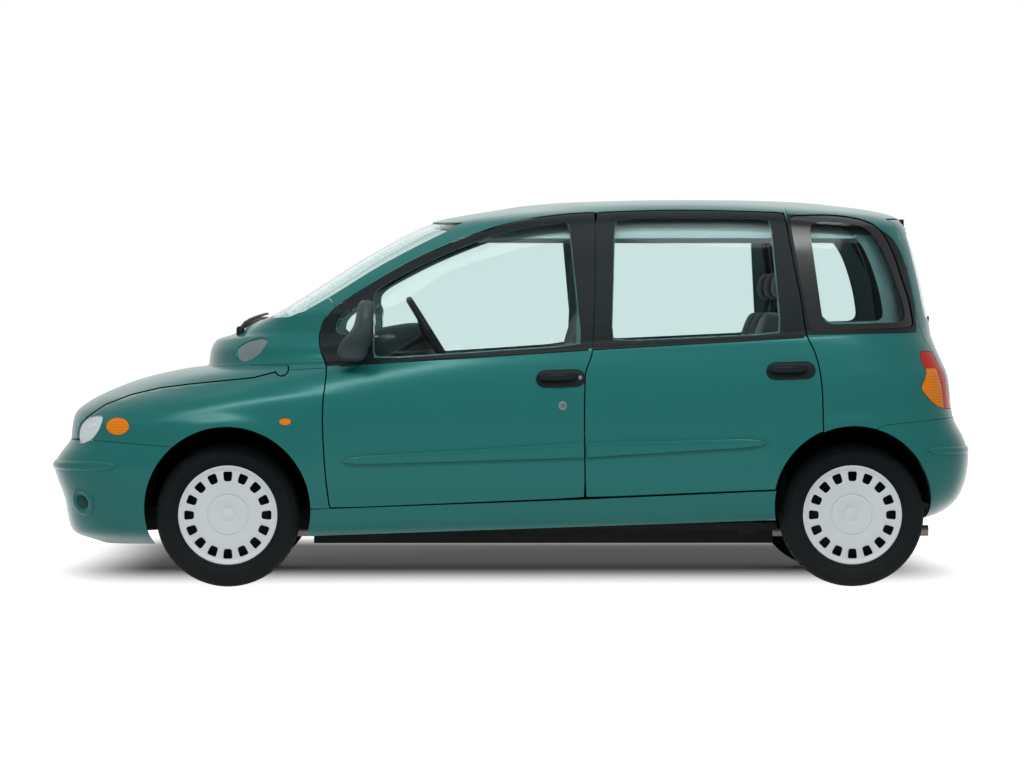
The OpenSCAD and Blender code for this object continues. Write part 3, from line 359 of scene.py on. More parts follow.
class Shell:
    """The body surface as a solid, the same surface moved inwards, and points on it."""

    def __init__(self, body):
        self.body = body
        self.half = body.width / 2
        self.cores = {}
        self.places = self.slice_places()
        self.solid = self.loft(lambda p: p)
        bm = bmesh.new()
        bm.from_mesh(self.solid.data)
        self.tree = BVHTree.FromBMesh(bm)
        bm.free()

    def slice_places(self):
        """Rings of points: the measured slices, with finer ones eased in between without overshoot."""
        rows = np.array(SLICES)
        move = np.diff(rows[:, :5] * np.array([4, 1.7, 4, 1.7, 0.9]), axis=0)
        step = np.sqrt((move ** 2).sum(1))
        rise = np.diff(rows, axis=0) / step[:, None]
        slope = np.vstack([rise[:1], np.zeros_like(rise[1:]), rise[-1:]])
        for i in range(1, len(rows) - 1):
            both = rise[i - 1] * rise[i] > 0
            w1, w2 = 2 * step[i] + step[i - 1], step[i] + 2 * step[i - 1]
            safe1, safe2 = np.where(both, rise[i - 1], 1), np.where(both, rise[i], 1)
            slope[i] = np.where(both, (w1 + w2) / (w1 / safe1 + w2 / safe2), 0)
        fine = []
        for i in range(len(rows) - 1):
            for k in range(FINE):
                fine.append(eased(k / FINE, rows[i], rows[i + 1], step[i] * slope[i], step[i] * slope[i + 1]))
        fine.append(rows[-1])
        turns = np.linspace(0, 2 * math.pi, 20001)
        c, s = np.cos(turns), np.sin(turns)
        square = np.stack([2.1 * np.sign(c) * np.abs(c) ** 0.36, np.sign(s) * np.abs(s) ** 0.36])
        walked = np.concatenate([[0], np.cumsum(np.hypot(*np.diff(square)))])
        turns = np.interp(np.linspace(0, walked[-1], RING, endpoint=False), walked, turns)
        c, s = np.cos(turns), np.sin(turns)
        out = []
        for front, low, rear, high, wide, nose, tail in fine:
            power = 2 / np.where(c >= 0, nose, tail)
            bow = np.where(c >= 0, 0, REAR_BOW) * np.abs(s) ** (2 * power)
            x = (front + rear) / 2 + (front - rear) / 2 * np.sign(c) * np.abs(c) ** power * (1 - bow)
            y = wide * self.half * np.sign(s) * np.abs(s) ** power
            z = low + (high - low) * (front - x) / (front - rear)
            x, z = x * self.body.length, z * self.body.height
            for hub_x, hub_z, radius in AXLES:
                away = np.hypot(x - hub_x, z - hub_z) - radius
                near = np.clip(1 - away / FLARE[0], 0, 1)
                y = y + np.sign(y) * FLARE[1] * near * near * (3 - 2 * near)
            out.append(np.stack([x, y, z], 1))
        return np.array(out)

    def loft(self, shift):
        """A closed skin through the rings, each point moved by shift."""
        bm = bmesh.new()
        rings = len(self.places)
        bmesh.ops.create_grid(bm, x_segments=RING, y_segments=rings - 1, size=0.5)
        for v in bm.verts:
            step, row = round((v.co.x + 0.5) * RING), round((v.co.y + 0.5) * (rings - 1))
            v.co = shift(Vector(self.places[row][step % RING]))
        bmesh.ops.remove_doubles(bm, verts=bm.verts, dist=1e-6)
        return sealed("tool", bm)

    def core(self, depth):
        """The shell moved inwards by a depth, open towards the ground."""
        key = round(depth, 5)
        if key not in self.cores:
            across, along = 1 - depth / self.half, 1 - 2 * depth / self.body.length
            slim = self.loft(lambda p: Vector((p.x * along, p.y * across, p.z)))
            low = self.loft(lambda p: p - Vector((0, 0, depth)))
            self.cores[key] = carved("tool", slim, ("INTERSECT", low))
        return self.cores[key]

    def layer(self, outer, inner, zone, *cuts):
        """What lies between two depths below the surface, within a zone and outside the cuts."""
        base = self.core(outer) if outer else self.solid
        return carved("layer", base, ("INTERSECT", zone), *minus(self.core(inner), *cuts))

    def side(self, shares, grow=0.0, radius=0.0, side=0, smooth=True):
        """A side-view outline as a tool, through the left (1), the right (-1) or both sides."""
        points = scaled(shares, self.body.length, self.body.height)
        if smooth:
            points = curved(points, radius)
        points = grown(points, grow) if grow else points
        return prism(points, 1, -WIDE if side <= 0 else 0, WIDE if side >= 0 else 0)

    def end(self, shares, front, grow=0.0, radius=0.0):
        """An end-view outline as a tool through the front or the rear half."""
        points = curved(mirrored(scaled(shares, self.half, self.body.height)), radius)
        points = grown(points, grow) if grow else points
        return prism(points, 0, *((0, END) if front else (-END, 0)))

    def arches(self, clear=0.0):
        """Round tools through both wheel arches of each axle."""
        return [drum(x, 0, z, radius + clear, 2 * WIDE, 1, 128) for x, z, radius in AXLES]

    def out(self, x, z):
        """How far the left side of the shell reaches at a point of the side view."""
        return self.tree.ray_cast(Vector((x, FAR, z)), Vector((0, -1, 0)))[0].y

    def top(self, x, y):
        """How high the shell reaches at a point of the plan."""
        return self.tree.ray_cast(Vector((x, y, FAR)), Vector((0, 0, -1)))[0].z

    def behind(self, y, z):
        """How far back the shell reaches at a point of the end view."""
        return self.tree.ray_cast(Vector((-FAR, y, z)), Vector((1, 0, 0)))[0].x


def carved(name, base, *cuts):
    """A new object: the base cut by each tool in turn."""
    work = bpy.data.objects.new(name, base.data)
    bpy.context.scene.collection.objects.link(work)
    for operation, tool in cuts:
        cut = work.modifiers.new("cut", "BOOLEAN")
        cut.operation, cut.object, cut.solver = operation, tool, "MANIFOLD"
    depsgraph = bpy.context.evaluated_depsgraph_get()
    mesh = bpy.data.meshes.new_from_object(work.evaluated_get(depsgraph), depsgraph=depsgraph)
    bpy.data.objects.remove(work)
    return bpy.data.objects.new(name, mesh)


def joined(name, *objects):
    """One object from the meshes of several."""
    bm = bmesh.new()
    for obj in objects:
        bm.from_mesh(obj.data)
    return new_object(name, bm)


def shown(obj, name, body, material, node=None, angle=30):
    """Puts a finished piece in the scene: its name, the body it rides on, its finish and what it stands for."""
    obj.name = obj.data.name = name
    obj.data.materials.clear()
    obj.data.materials.append(material)
    bm = bmesh.new()
    bm.from_mesh(obj.data)
    bmesh.ops.remove_doubles(bm, verts=bm.verts, dist=2e-6)
    bmesh.ops.dissolve_degenerate(bm, dist=1e-6, edges=bm.edges)
    for face in bm.faces:
        face.smooth = True
    bm.to_mesh(obj.data)
    bm.free()
    obj.data.set_sharp_from_angle(angle=math.radians(angle))
    if obj.name not in bpy.context.scene.collection.objects:
        bpy.context.scene.collection.objects.link(obj)
    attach(obj, body)
    if node:
        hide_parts(node)
    return obj


def node_group(name, inputs, outputs):
    """An empty shader node group with named sockets, its input node and its output node."""
    tree = bpy.data.node_groups.new(name, "ShaderNodeTree")
    for label, kind, default in inputs:
        socket = tree.interface.new_socket(label, in_out="INPUT", socket_type="NodeSocket" + kind)
        socket.default_value = default
    for label, kind in outputs:
        tree.interface.new_socket(label, in_out="OUTPUT", socket_type="NodeSocket" + kind)
    return tree, tree.nodes.new("NodeGroupInput").outputs, tree.nodes.new("NodeGroupOutput").inputs


def feed(tree, inputs, values):
    """Gives each named input a constant, or links it to another node's output."""
    for key, value in values.items():
        if isinstance(value, bpy.types.NodeSocket):
            tree.links.new(value, inputs[key])
        else:
            inputs[key].default_value = value


def add_node(tree, kind, values=None, **settings):
    """The outputs of a new shader node with its settings and its inputs."""
    node = tree.nodes.new("ShaderNode" + kind)
    for name, value in settings.items():
        setattr(node, name, value)
    feed(tree, node.inputs, values or {})
    return node.outputs


def add_math(tree, operation, *values):
    """The result of a sum on constants or other nodes' outputs."""
    return add_node(tree, "Math", dict(enumerate(values)), operation=operation)[0]


def add_mix(tree, factor, first, second):
    """A colour between two colours."""
    return add_node(tree, "Mix", {"Factor": factor, 6: first, 7: second}, data_type="RGBA")[2]


def add_place(tree):
    """The place on the object that is being shaded."""
    return add_node(tree, "TexCoord")["Object"]


def grain_group():
    """Moulded grain, orange peel or fine sparkle: a height that changes over the surface."""
    tree, given, out = node_group("Grain", (("Size", "Float", 900.0), ("Roundness", "Float", 0.5)),
                                  (("Height", "Float"), ("Speck", "Float")))
    where = {"Vector": add_place(tree), "Scale": given["Size"]}
    noise, cells = add_node(tree, "TexNoise", {**where, "Detail": 3.0}), add_node(tree, "TexVoronoi", where)
    mix = add_node(tree, "Mix", {"Factor": given["Roundness"], 2: noise["Fac"], 3: cells["Distance"]})
    feed(tree, out, {"Height": mix[0], "Speck": cells["Color"]})
    return tree


def wear_group():
    """Road dust low down and soft patches of wear, as a colour and a roughness."""
    tree, given, out = node_group(
        "Wear", (("Colour", "Color", (0.5, 0.5, 0.5, 1)), ("Dust", "Color", (0.32, 0.31, 0.29, 1)),
                 ("Amount", "Float", 0.2), ("Height", "Float", 0.35), ("Roughness", "Float", 0.4)),
        (("Colour", "Color"), ("Roughness", "Float")))
    where = add_place(tree)
    patches = add_node(tree, "TexNoise", {"Vector": where, "Scale": 6.0, "Detail": 6.0})["Fac"]
    up = add_node(tree, "SeparateXYZ", {0: where})["Z"]
    low = add_node(tree, "MapRange", {"Value": up, "From Max": given["Height"], "To Min": 1.0, "To Max": 0.0})[0]
    amount = add_math(tree, "MULTIPLY", add_math(tree, "MULTIPLY", low, patches), given["Amount"])
    feed(tree, out, {"Colour": add_mix(tree, amount, given["Colour"], given["Dust"]),
                     "Roughness": add_math(tree, "MULTIPLY_ADD", patches, 0.08, given["Roughness"])})
    return tree


def times(colour, by):
    """A colour made darker or lighter, with its alpha."""
    return (*(min(1.0, c * by) for c in colour), 1)


class Finishes:
    """Every material of the car, each made once."""

    def __init__(self, scene):
        self.grain, self.wear = grain_group(), wear_group()
        body, trim, wheels, cabin = scene.van_body, scene.van_trim, scene.van_wheels, scene.van_cabin
        self.paint = self.painted("metallic_green", body.paint, body.flake)
        # Name, colour, roughness, grains in a metre and depth of the grain, then what is out of the common
        for attribute, name, colour, rough, grain, depth, more in (
                ("plastic", "black_plastic", trim.black, 0.42, 1100, 0.00012, {"shine": 0.12}),
                ("gloss", "black_gloss", times(trim.black, 0.6)[:3], 0.16, 700, 0.00001, {"shine": 0.3}),
                # seal_rubber_and_gap_shade: near-black rubber behind the gaps, partly real seals and partly painted
                # shade inside the gaps
                ("rubber", "seal_rubber_and_gap_shade", times(trim.black, 0.3)[:3], 0.8, 600, 0.0001, {"shine": 0.03}),
                ("case", "mirror_plastic", shade(40, 54, 57), 0.45, 1300, 0.0002, {"shine": 0.3}),
                # pod_shadow: the body green darkened as painted shade of the recess inside each fog pod ring
                ("shadow", "pod_shadow", shade(16, 62, 59), 0.5, 900, 0.0001, {"shine": 0.1}),
                ("pillar", "pillar_trim", shade(92, 118, 119), 0.6, 800, 0.0002, {"shine": 0.15}),
                ("tyre", "tyre_rubber", wheels.rubber, 0.66, 420, 0.00025,
                 {"dust": 0.06, "reach": 0.5, "shine": 0.08}),
                ("cover", "silver_cover", wheels.cover, 0.34, 1500, 0.00004, {"dust": 0.05}),
                ("chrome", "bright_reflector", shade(226, 230, 232), 0.12, 300, 0.00002, {"metallic": 0.9}),
                ("silver", "lamp_silver", shade(190, 198, 199), 0.35, 300, 0.0001, {"metallic": 0.2}),
                ("dash", "dashboard_grain", cabin.dash, 0.55, 700, 0.0003, {"shine": 0.15}),
                # Underside steel: near-black, partly the steel's own dark finish and partly painted shade under the
                # car
                ("steel", "dark_steel_and_underside_shade", shade(20, 23, 24), 0.6, 220, 0.0002, {"dust": 0.15, "shine": 0.1}),
                ("pipe", "exhaust_steel", shade(112, 106, 98), 0.45, 160, 0.0002, {"metallic": 0.85, "dust": 0.7}),
                ("alloy", "cast_alloy", shade(140, 142, 144), 0.5, 260, 0.0003, {"metallic": 0.7, "dust": 0.5}),
                ("liner", "arch_liner", shade(5, 6, 7), 0.8, 320, 0.0006, {"dust": 0.03, "shine": 0.02}),
                ("beam", "beam_reflector", shade(100, 112, 115), 0.35, 300, 0.0002, {"metallic": 0.3})):
            setattr(self, attribute, self.moulded(name, colour, rough, grain, depth, **more))
        self.lining = self.woven("headlining", shade(150, 172, 173), 700, 0.0003)
        self.carpet = self.woven("cabin_carpet", shade(26, 30, 32), 900, 0.0012)
        self.cloth = self.woven("seat_cloth", cabin.cloth, 620, 0.0006)
        self.glass = self.clear("tinted_glass", tuple(c ** 0.5 for c in trim.glass), 0.0)
        self.lens = self.clear("lamp_glass", shade(246, 248, 249), 0.02)
        self.amber = self.lamp("amber_lens", trim.amber)
        self.red = self.lamp("red_lens", trim.red)

    def start(self, name):
        """A new material, its nodes and the inputs of its shader."""
        material = bpy.data.materials.new(name)
        material.use_nodes = True
        return material, material.node_tree, material.node_tree.nodes["Principled BSDF"].inputs

    def grained(self, tree, grains, roundness):
        """The outputs of a grain group."""
        return add_node(tree, "Group", {"Size": grains, "Roundness": roundness}, node_tree=self.grain)

    def raised(self, tree, shader, height, depth, strength=1.0):
        """Bump from a height."""
        bump = add_node(tree, "Bump", {"Distance": depth, "Strength": strength, "Height": height})
        feed(tree, shader, {"Normal": bump[0]})

    def worn(self, tree, shader, colour, dust, reach, rough):
        """Colour and roughness with road dust up to a height."""
        wear = add_node(tree, "Group", {"Colour": colour, "Amount": dust, "Height": reach, "Roughness": rough},
                        node_tree=self.wear)
        feed(tree, shader, {"Base Color": wear["Colour"], "Roughness": wear["Roughness"]})

    def moulded(self, name, colour, rough, grain, depth, metallic=0.0, dust=0.12, reach=0.4, shine=0.5):
        """Plastic, rubber or cast metal with a fine grain."""
        material, tree, shader = self.start(name)
        self.worn(tree, shader, (*colour, 1), dust, reach, rough)
        feed(tree, shader, {"Metallic": metallic, "Specular IOR Level": shine})
        self.raised(tree, shader, self.grained(tree, grain, 0.6)["Height"], depth)
        return material

    def painted(self, name, colour, flake):
        """Metallic paint: specks of flake under a clear coat."""
        material, tree, shader = self.start(name)
        speck = self.grained(tree, 1400.0, 0.5)["Speck"]
        share = add_node(tree, "MapRange", {"Value": speck, "To Max": 0.45})[0]
        self.worn(tree, shader, add_mix(tree, share, (*colour, 1), (*flake, 1)), 0.06, 0.42, 0.26)
        feed(tree, shader, {"Metallic": 0.12, "Specular IOR Level": 0.06, "Coat Weight": 0.60, "Coat IOR": 1.26,
                            "Coat Roughness": 0.22})
        self.raised(tree, shader, self.grained(tree, 160.0, 0.0)["Height"], 0.00002)
        return material

    def woven(self, name, colour, threads, depth):
        """Cloth: two sets of threads, with lighter and darker flecks."""
        material, tree, shader = self.start(name)
        where = add_place(tree)
        waves = [add_node(tree, "TexWave", {"Vector": where, "Scale": threads / 6.28, "Distortion": 1.2},
                          bands_direction=direction)["Fac"] for direction in ("X", "Z")]
        fleck = self.grained(tree, threads * 0.6, 0.3)["Height"]
        feed(tree, shader, {"Base Color": add_mix(tree, fleck, times(colour, 0.7), times(colour, 1.35)),
                            "Roughness": 0.85, "Sheen Weight": 0.25, "Sheen Roughness": 0.5})
        self.raised(tree, shader, add_math(tree, "MAXIMUM", *waves), depth, 0.6)
        return material

    def clear(self, name, colour, rough):
        """Glass with a faint ripple."""
        material, tree, shader = self.start(name)
        feed(tree, shader, {"Base Color": (*colour, 1), "Transmission Weight": 1.0, "IOR": 1.12, "Roughness": rough})
        self.raised(tree, shader, self.grained(tree, 3.0, 0.0)["Height"], 0.0002, 0.05)
        return material

    def lamp(self, name, colour):
        """Coloured lens with moulded flutes: they bump, and the colour goes lighter and darker across each flute as
        painted highlight and shade.
        """
        material, tree, shader = self.start(name)
        flutes = add_node(tree, "TexWave", {"Vector": add_place(tree), "Scale": 48.0}, bands_direction="Z")["Fac"]
        # Painted highlight and shade: the lens colour goes lighter and darker across each flute
        feed(tree, shader, {"Base Color": add_mix(tree, flutes, times(colour, 0.72), times(colour, 1.2)),
                            "Roughness": 0.16, "Specular IOR Level": 0.06})
        self.raised(tree, shader, flutes, 0.0008, 0.5)
        return material


KIT = {}
# Places and sizes of the hinges, in metres
HINGES, HINGE_Z = ((0.7508, 0.914), (-0.3635, 0.9205)), (0.5595, 0.7682)
HINGE_BORE, HINGE_LONG, BARREL = 0.0087, 0.0704, (0.0054, 0.0083)
BONNET_HINGE, BONNET_TIP = (0.9905, 0, 0.930), 0.029
GATE_HINGE_X, GATE_HINGE_Y, GATE_HINGE_Z = -1.7114, 0.3, 1.537
# Depths of panels below the shell's surface, and radii of outlines, in metres
HEM, SKIN, THIN, SILL_DEPTH = 0.026, 0.012, 0.024, 0.090
DOOR_DEPTH, FRAME_DEPTH, RAIL_DEPTH, LAMP_DEPTH = 0.080, 0.046, 0.068, 0.040
PANE_OUT, PANE_IN = 0.005, 0.009
DOOR_ROUND, PANE_ROUND, SCREEN_ROUND, LAMP_ROUND = 0.012, 0.028, 0.03, 0.02
FIT, SHEET = 0.001, 0.006  # Clearance round a piece set into a panel, and thickness of seals and linings


def kit(context):
    """The shell and the finishes, made by the first operator that needs them."""
    if not KIT:
        KIT["shell"], KIT["finish"] = Shell(context.scene.van_body), Finishes(context.scene)
    return KIT["shell"], KIT["finish"]


def flipped(obj):
    """The right-hand twin of a left-hand piece."""
    bm = bmesh.new()
    bm.from_mesh(obj.data)
    bmesh.ops.scale(bm, vec=(1, -1, 1), verts=bm.verts)
    bmesh.ops.reverse_faces(bm, faces=bm.faces)
    return new_object("right", bm)


def turned(profile, centre, axis, steps):
    """A closed profile of (radius, along) points spun round an axis through a centre."""
    bm = bmesh.new()
    verts = [bm.verts.new((r, 0, a)) for r, a in profile]
    edges = [bm.edges.new((verts[i - 1], v)) for i, v in enumerate(verts)]
    bmesh.ops.spin(bm, geom=verts + edges, cent=(0, 0, 0), axis=(0, 0, 1), dvec=(0, 0, 0), angle=math.tau,
                   steps=steps, use_merge=True)
    bmesh.ops.remove_doubles(bm, verts=bm.verts, dist=1e-6)
    bmesh.ops.recalc_face_normals(bm, faces=bm.faces)
    turn = {"X": Matrix.Rotation(math.pi / 2, 3, "Y"), "Y": Matrix.Rotation(-math.pi / 2, 3, "X"),
            "Z": Matrix.Identity(3)}[axis]
    bmesh.ops.rotate(bm, matrix=turn, verts=bm.verts)
    bmesh.ops.translate(bm, vec=centre, verts=bm.verts)
    return new_object("turned", bm)


def torus(radius, out, up, sides, steps):
    """A ring round Z with an oval section."""
    angles = [math.tau * i / sides for i in range(sides)]
    section = [(radius + out * math.cos(a), up * math.sin(a)) for a in angles]
    return turned(section, (0, 0, 0), "Z", steps)


def barrel(centre, axis, start, end):
    """A hinge's hollow barrel."""
    bore, outer = BARREL
    return turned(((bore, start), (outer, start), (outer, end), (bore, end)), centre, axis, 24)


def lamp_tools(grow=0.0):
    """Round openings of the headlamps and of the lamps on the ridge, both sides."""
    low = [drum(2.0, s * 0.7063, 0.6713, 0.062 + grow, 0.487, 0) for s in (1, -1)]
    high = [drum(1.8, s * 0.6221, 1.0120, 0.050 + grow, 2.0, 0) for s in (1, -1)]
    return low, high


def signal_tools(grow=0.0):
    """Oval openings of the front indicators and of the repeaters, through both sides."""
    return [drum(1.6895, 0, 0.6864, 0.036 + grow, 2 * WIDE, 1, 64, 1.4),
            drum(0.9705, 0, 0.7081, 0.014 + grow, 2 * WIDE, 1, 48, 1.8)]


def minus(*tools):
    """The cuts that take each tool away."""
    return [("DIFFERENCE", t) for t in tools]


def bonnet_tools(shell, grow):
    """What the bonnet covers: its side-view outline, and the ridge that it stops at."""
    ring = [Vector(p[:2]) for p in shell.places[RIDGE * FINE]]
    ridge = prism(grown(ring, 0.006 - grow), 2, 0, 1.8)
    tip = drum(*BONNET_HINGE, BONNET_TIP + grow, 2 * WIDE, 1, 48)
    return carved("tool", shell.side(BONNET, grow, smooth=False), ("UNION", tip), ("DIFFERENCE", ridge))


class VAN_OT_panels(bpy.types.Operator):
    """Sills, rails, quarters, roof, cowl, fenders and bumpers"""
    bl_idname = "van.panels"
    bl_label = "Fixed panels"

    def execute(self, context):
        shell, finish = kit(context)
        body = context.scene.van_body
        gap, seam = body.gap / 2, -body.seam / 2
        doors = [shell.side(FRONT_DOOR, gap, DOOR_ROUND), shell.side(REAR_DOOR, gap, DOOR_ROUND)]
        screen, gate = shell.end(WINDSCREEN, True, FIT), shell.end(TAILGATE, False, gap)
        arches = shell.arches()
        half, rear, front = 0.60 * shell.half, -0.440 * body.length, 0.091 * body.length
        roof = block((rear, -half, 0.8), (front, half, 2.4))
        roof_hole = block((rear - FIT, -half - FIT, 0.8), (front + FIT, half + FIT, 2.4))
        low_lamps, high_lamps = lamp_tools(FIT)
        signals = signal_tools(FIT)
        lid = bonnet_tools(shell, gap)
        pockets = [block((0.864, y - 0.037, 0), (1.0195, y + 0.037, 0.9443)) for y in (0.726, -0.726)]
        lamp_bed = carved("tool", shell.side(TAIL_LAMP, FIT, LAMP_ROUND),
                          ("DIFFERENCE", shell.core(LAMP_DEPTH + 0.006)))
        pane_bed = carved("tool", shell.side(QUARTER_WINDOW, FIT, PANE_ROUND), ("DIFFERENCE", shell.core(0.0105)))
        mouth = carved("tool", shell.end(MOUTH, True, 0, 0.012), *minus(*(
            block((0, -1, z * body.height - 0.006), (3, 1, z * body.height + 0.006)) for z in (0.213, 0.232))))

        def panel(shares, depth, *cuts):
            """A fixed panel of a depth from its side-view outline."""
            return shell.layer(0, depth, shell.side(shares, seam, smooth=False), *cuts)

        pillar = shell.layer(FRAME_DEPTH + body.gap, 2 * RAIL_DEPTH, shell.side(PILLAR, smooth=False))
        pieces = {
            "sills": panel(SILL, SILL_DEPTH, *arches),
            "side_rails": panel(RAIL, RAIL_DEPTH, *doors, screen, roof_hole),
            "rear_quarters": panel(QUARTER, RAIL_DEPTH, *doors, *arches, gate, roof_hole, lamp_bed, pane_bed,
                                   shell.side(QUARTER_WINDOW, -0.022, PANE_ROUND)),
            "cowl": panel(COWL, RAIL_DEPTH, lid, *doors, *high_lamps, screen, *pockets),
            "front_fenders": panel(FENDER, THIN, lid, *doors, *arches, *low_lamps, *signals),
            "front_bumper": panel(FRONT_BUMPER, THIN, lid, *arches, *low_lamps, mouth),
            "rear_bumper": panel(REAR_BUMPER, THIN, *arches, gate),
            "roof_panel": carved("roof", shell.solid, ("INTERSECT", roof), *minus(
                shell.loft(lambda p: p - Vector((0, 0, THIN))), screen, gate)),
        }
        dark = shell.side(QUARTER_BLACK, 0, DOOR_ROUND)
        borders = carved("panel", pieces["rear_quarters"], ("INTERSECT", dark))
        pieces["rear_quarters"] = carved("panel", pieces["rear_quarters"], ("DIFFERENCE", dark))
        for name, piece in pieces.items():
            shown(piece, "painted_" + name, "body", finish.paint, name)
        shown(borders, "quarter_surrounds", "body", finish.plastic)
        shown(pillar, "centre_pillars", "body", finish.pillar)
        self.seal_and_shade_strips(shell, finish)
        return {"FINISHED"}

    def seal_and_shade_strips(self, shell, finish):
        """Near-black strips behind the gaps, round the bonnet, below the doors and behind the rear doors: partly real
        seals, partly painted shade inside the gaps.
        """
        low_lamps, high_lamps = lamp_tools(0.004)
        lid = shell.layer(0.028, 0.028 + SHEET, shell.side(BONNET, 0.022, smooth=False),
                          shell.side(BONNET, -0.030, smooth=False), *low_lamps, *high_lamps, back_of(1.045))
        step = shell.layer(0.094, 0.094 + SHEET, shell.side(BELOW_DOORS, smooth=False))
        rear_edge = shell.layer(0.016, 0.016 + SHEET, shell.side(REAR_DOOR, 0.0025, DOOR_ROUND),
                                shell.side(REAR_DOOR, -0.021, DOOR_ROUND), ahead_of(-1.12), *shell.arches(0.012))
        shown(joined("seal", lid, step, rear_edge), "body_seals", "body", finish.rubber)


class VAN_OT_doors(bpy.types.Operator):
    """Painted door skins, black window frames, door cards, hinge barrels and door glass"""
    bl_idname = "van.doors"
    bl_label = "Doors"

    def execute(self, context):
        shell, finish = kit(context)
        gap = context.scene.van_body.gap
        above = shell.side(BELT, 0, smooth=False)
        arches = shell.arches(gap)
        for name, shares, windows, (hx, hy) in (
                ("front", FRONT_DOOR, (FRONT_WINDOW, QUARTER_LIGHT), HINGES[0]),
                ("rear", REAR_DOOR, (REAR_WINDOW,), HINGES[1])):
            panes = [shell.side(w, 0.0006, PANE_ROUND, 1) for w in windows]
            slots = [block((hx - 0.026, 0.6, z - 0.013), (hx + 0.104, hy + 0.0073, z + 0.013)) for z in HINGE_Z]
            beds = [drum(hx, hy, z, HINGE_BORE, HINGE_LONG, 2, 24) for z in HINGE_Z]
            whole = shell.layer(0, SKIN, shell.side(shares, -gap / 2, DOOR_ROUND, 1), *arches, *panes, *slots, *beds)
            inner = shell.side(shares, -HEM, SCREEN_ROUND, 1)
            lined = carved("door", shell.core(SKIN - 0.0001), ("INTERSECT", inner), *minus(*arches, *slots, *beds))
            views = [shell.side(w, -0.004, SCREEN_ROUND, 1) for w in windows]
            skin = carved("door", whole, ("DIFFERENCE", above))
            frame_in = carved("door", lined, ("INTERSECT", above), *minus(shell.core(FRAME_DEPTH), *views))
            card = carved("door", lined, *minus(above, shell.core(DOOR_DEPTH)))
            barrels = [barrel((hx, hy, z), "Z", a, b) for z in HINGE_Z
                       for a, b in ((0.0130, 0.0350), (-0.0350, -0.0130))]
            card = joined("door", card, *barrels)
            window = shell.layer(PANE_OUT, PANE_IN, joined("tool", *(
                shell.side(w, 0, PANE_ROUND, 1) for w in windows)))
            border = carved("door", whole, ("INTERSECT", above))
            for side, place in (("left", lambda o: o), ("right", flipped)):
                ride = f"{name}_door_{side}"
                shown(place(border), f"{name}_frame_{side}", ride, finish.plastic)
                shown(place(card), f"{name}_card_{side}", ride, finish.dash)
                shown(place(frame_in), f"{name}_frame_trim_{side}", ride, finish.pillar)
                shown(place(window), f"{name}_glass_{side}", ride, finish.glass, f"{name}_pane_{side}")
                shown(place(skin), f"{name}_skin_{side}", ride, finish.paint, ride)
        return {"FINISHED"}


class VAN_OT_closures(bpy.types.Operator):
    """Bonnet and tailgate with their hinge barrels"""
    bl_idname = "van.closures"
    bl_label = "Bonnet and tailgate"

    def execute(self, context):
        shell, finish = kit(context)
        gap = context.scene.van_body.gap
        low_lamps, _ = lamp_tools(gap)
        hinge = drum(*BONNET_HINGE, HINGE_BORE, 1.5148, 1, 24)
        bonnet = shell.layer(0, THIN, bonnet_tools(shell, -gap / 2), *low_lamps, hinge)
        barrels = [barrel((BONNET_HINGE[0], s * 0.705, BONNET_HINGE[2]), "Y", 0, s * 0.052) for s in (1, -1)]
        shown(joined("bonnet", bonnet, *barrels), "painted_bonnet", "bonnet", finish.paint, "bonnet")

        behind = ahead_of(-1.0)
        zone = shell.end(TAILGATE, False, -gap / 2)
        deep = shell.end(TAILGATE, False, -HEM - gap / 2)
        window = shell.end(REAR_SCREEN, False, 0.0006, SCREEN_ROUND)
        clear = shell.end(REAR_SCREEN, False, -0.04, SCREEN_ROUND)
        bed = carved("tool", window, ("DIFFERENCE", shell.core(0.0096)))
        hinge_y = (GATE_HINGE_Y, -GATE_HINGE_Y)
        slots = [block((-1.7257, y - 0.012, 1.5227), (-1.593, y + 0.012, 1.66)) for y in hinge_y]
        pins = [drum(GATE_HINGE_X, y, GATE_HINGE_Z, HINGE_BORE, HINGE_LONG, 1, 24) for y in hinge_y]
        inside = (behind, bed, clear, *slots, *pins)
        skin = shell.layer(0, SKIN, zone, *inside)
        lining = shell.layer(SKIN - 0.0001, RAIL_DEPTH, deep, *inside)
        barrels = [barrel((GATE_HINGE_X, y + end * 0.0235, GATE_HINGE_Z), "Y", -0.0115, 0.0115)
                   for y in hinge_y for end in (1, -1)]
        pane = shell.layer(PANE_OUT, PANE_IN, shell.end(REAR_SCREEN, False, 0, SCREEN_ROUND), behind)
        shown(lining, "tailgate_lining", "tailgate", finish.dash)
        shown(joined("gate", skin, *barrels), "painted_tailgate", "tailgate", finish.paint, "tailgate")
        shown(pane, "rear_screen", "tailgate", finish.glass, "tailgate_glass")
        return {"FINISHED"}


class VAN_OT_glass(bpy.types.Operator):
    """Windscreen and quarter windows with their black borders"""
    bl_idname = "van.glass"
    bl_label = "Fixed glass"

    def execute(self, context):
        shell, finish = kit(context)
        screen = shell.layer(PANE_OUT, PANE_IN, shell.end(WINDSCREEN, True), back_of(0.2))
        shown(screen, "windscreen_pane", "body", finish.glass, "windscreen")
        pane = shell.layer(PANE_OUT, PANE_IN, shell.side(QUARTER_WINDOW, 0, PANE_ROUND))
        shown(pane, "quarter_panes", "body", finish.glass, "quarter_glass")
        frit = shell.layer(0.0046, 0.0049, shell.side(QUARTER_WINDOW, -0.0005, PANE_ROUND),
                           shell.side(QUARTER_CLEAR, 0, 0.05))
        shown(frit, "quarter_borders", "body", finish.gloss)
        return {"FINISHED"}


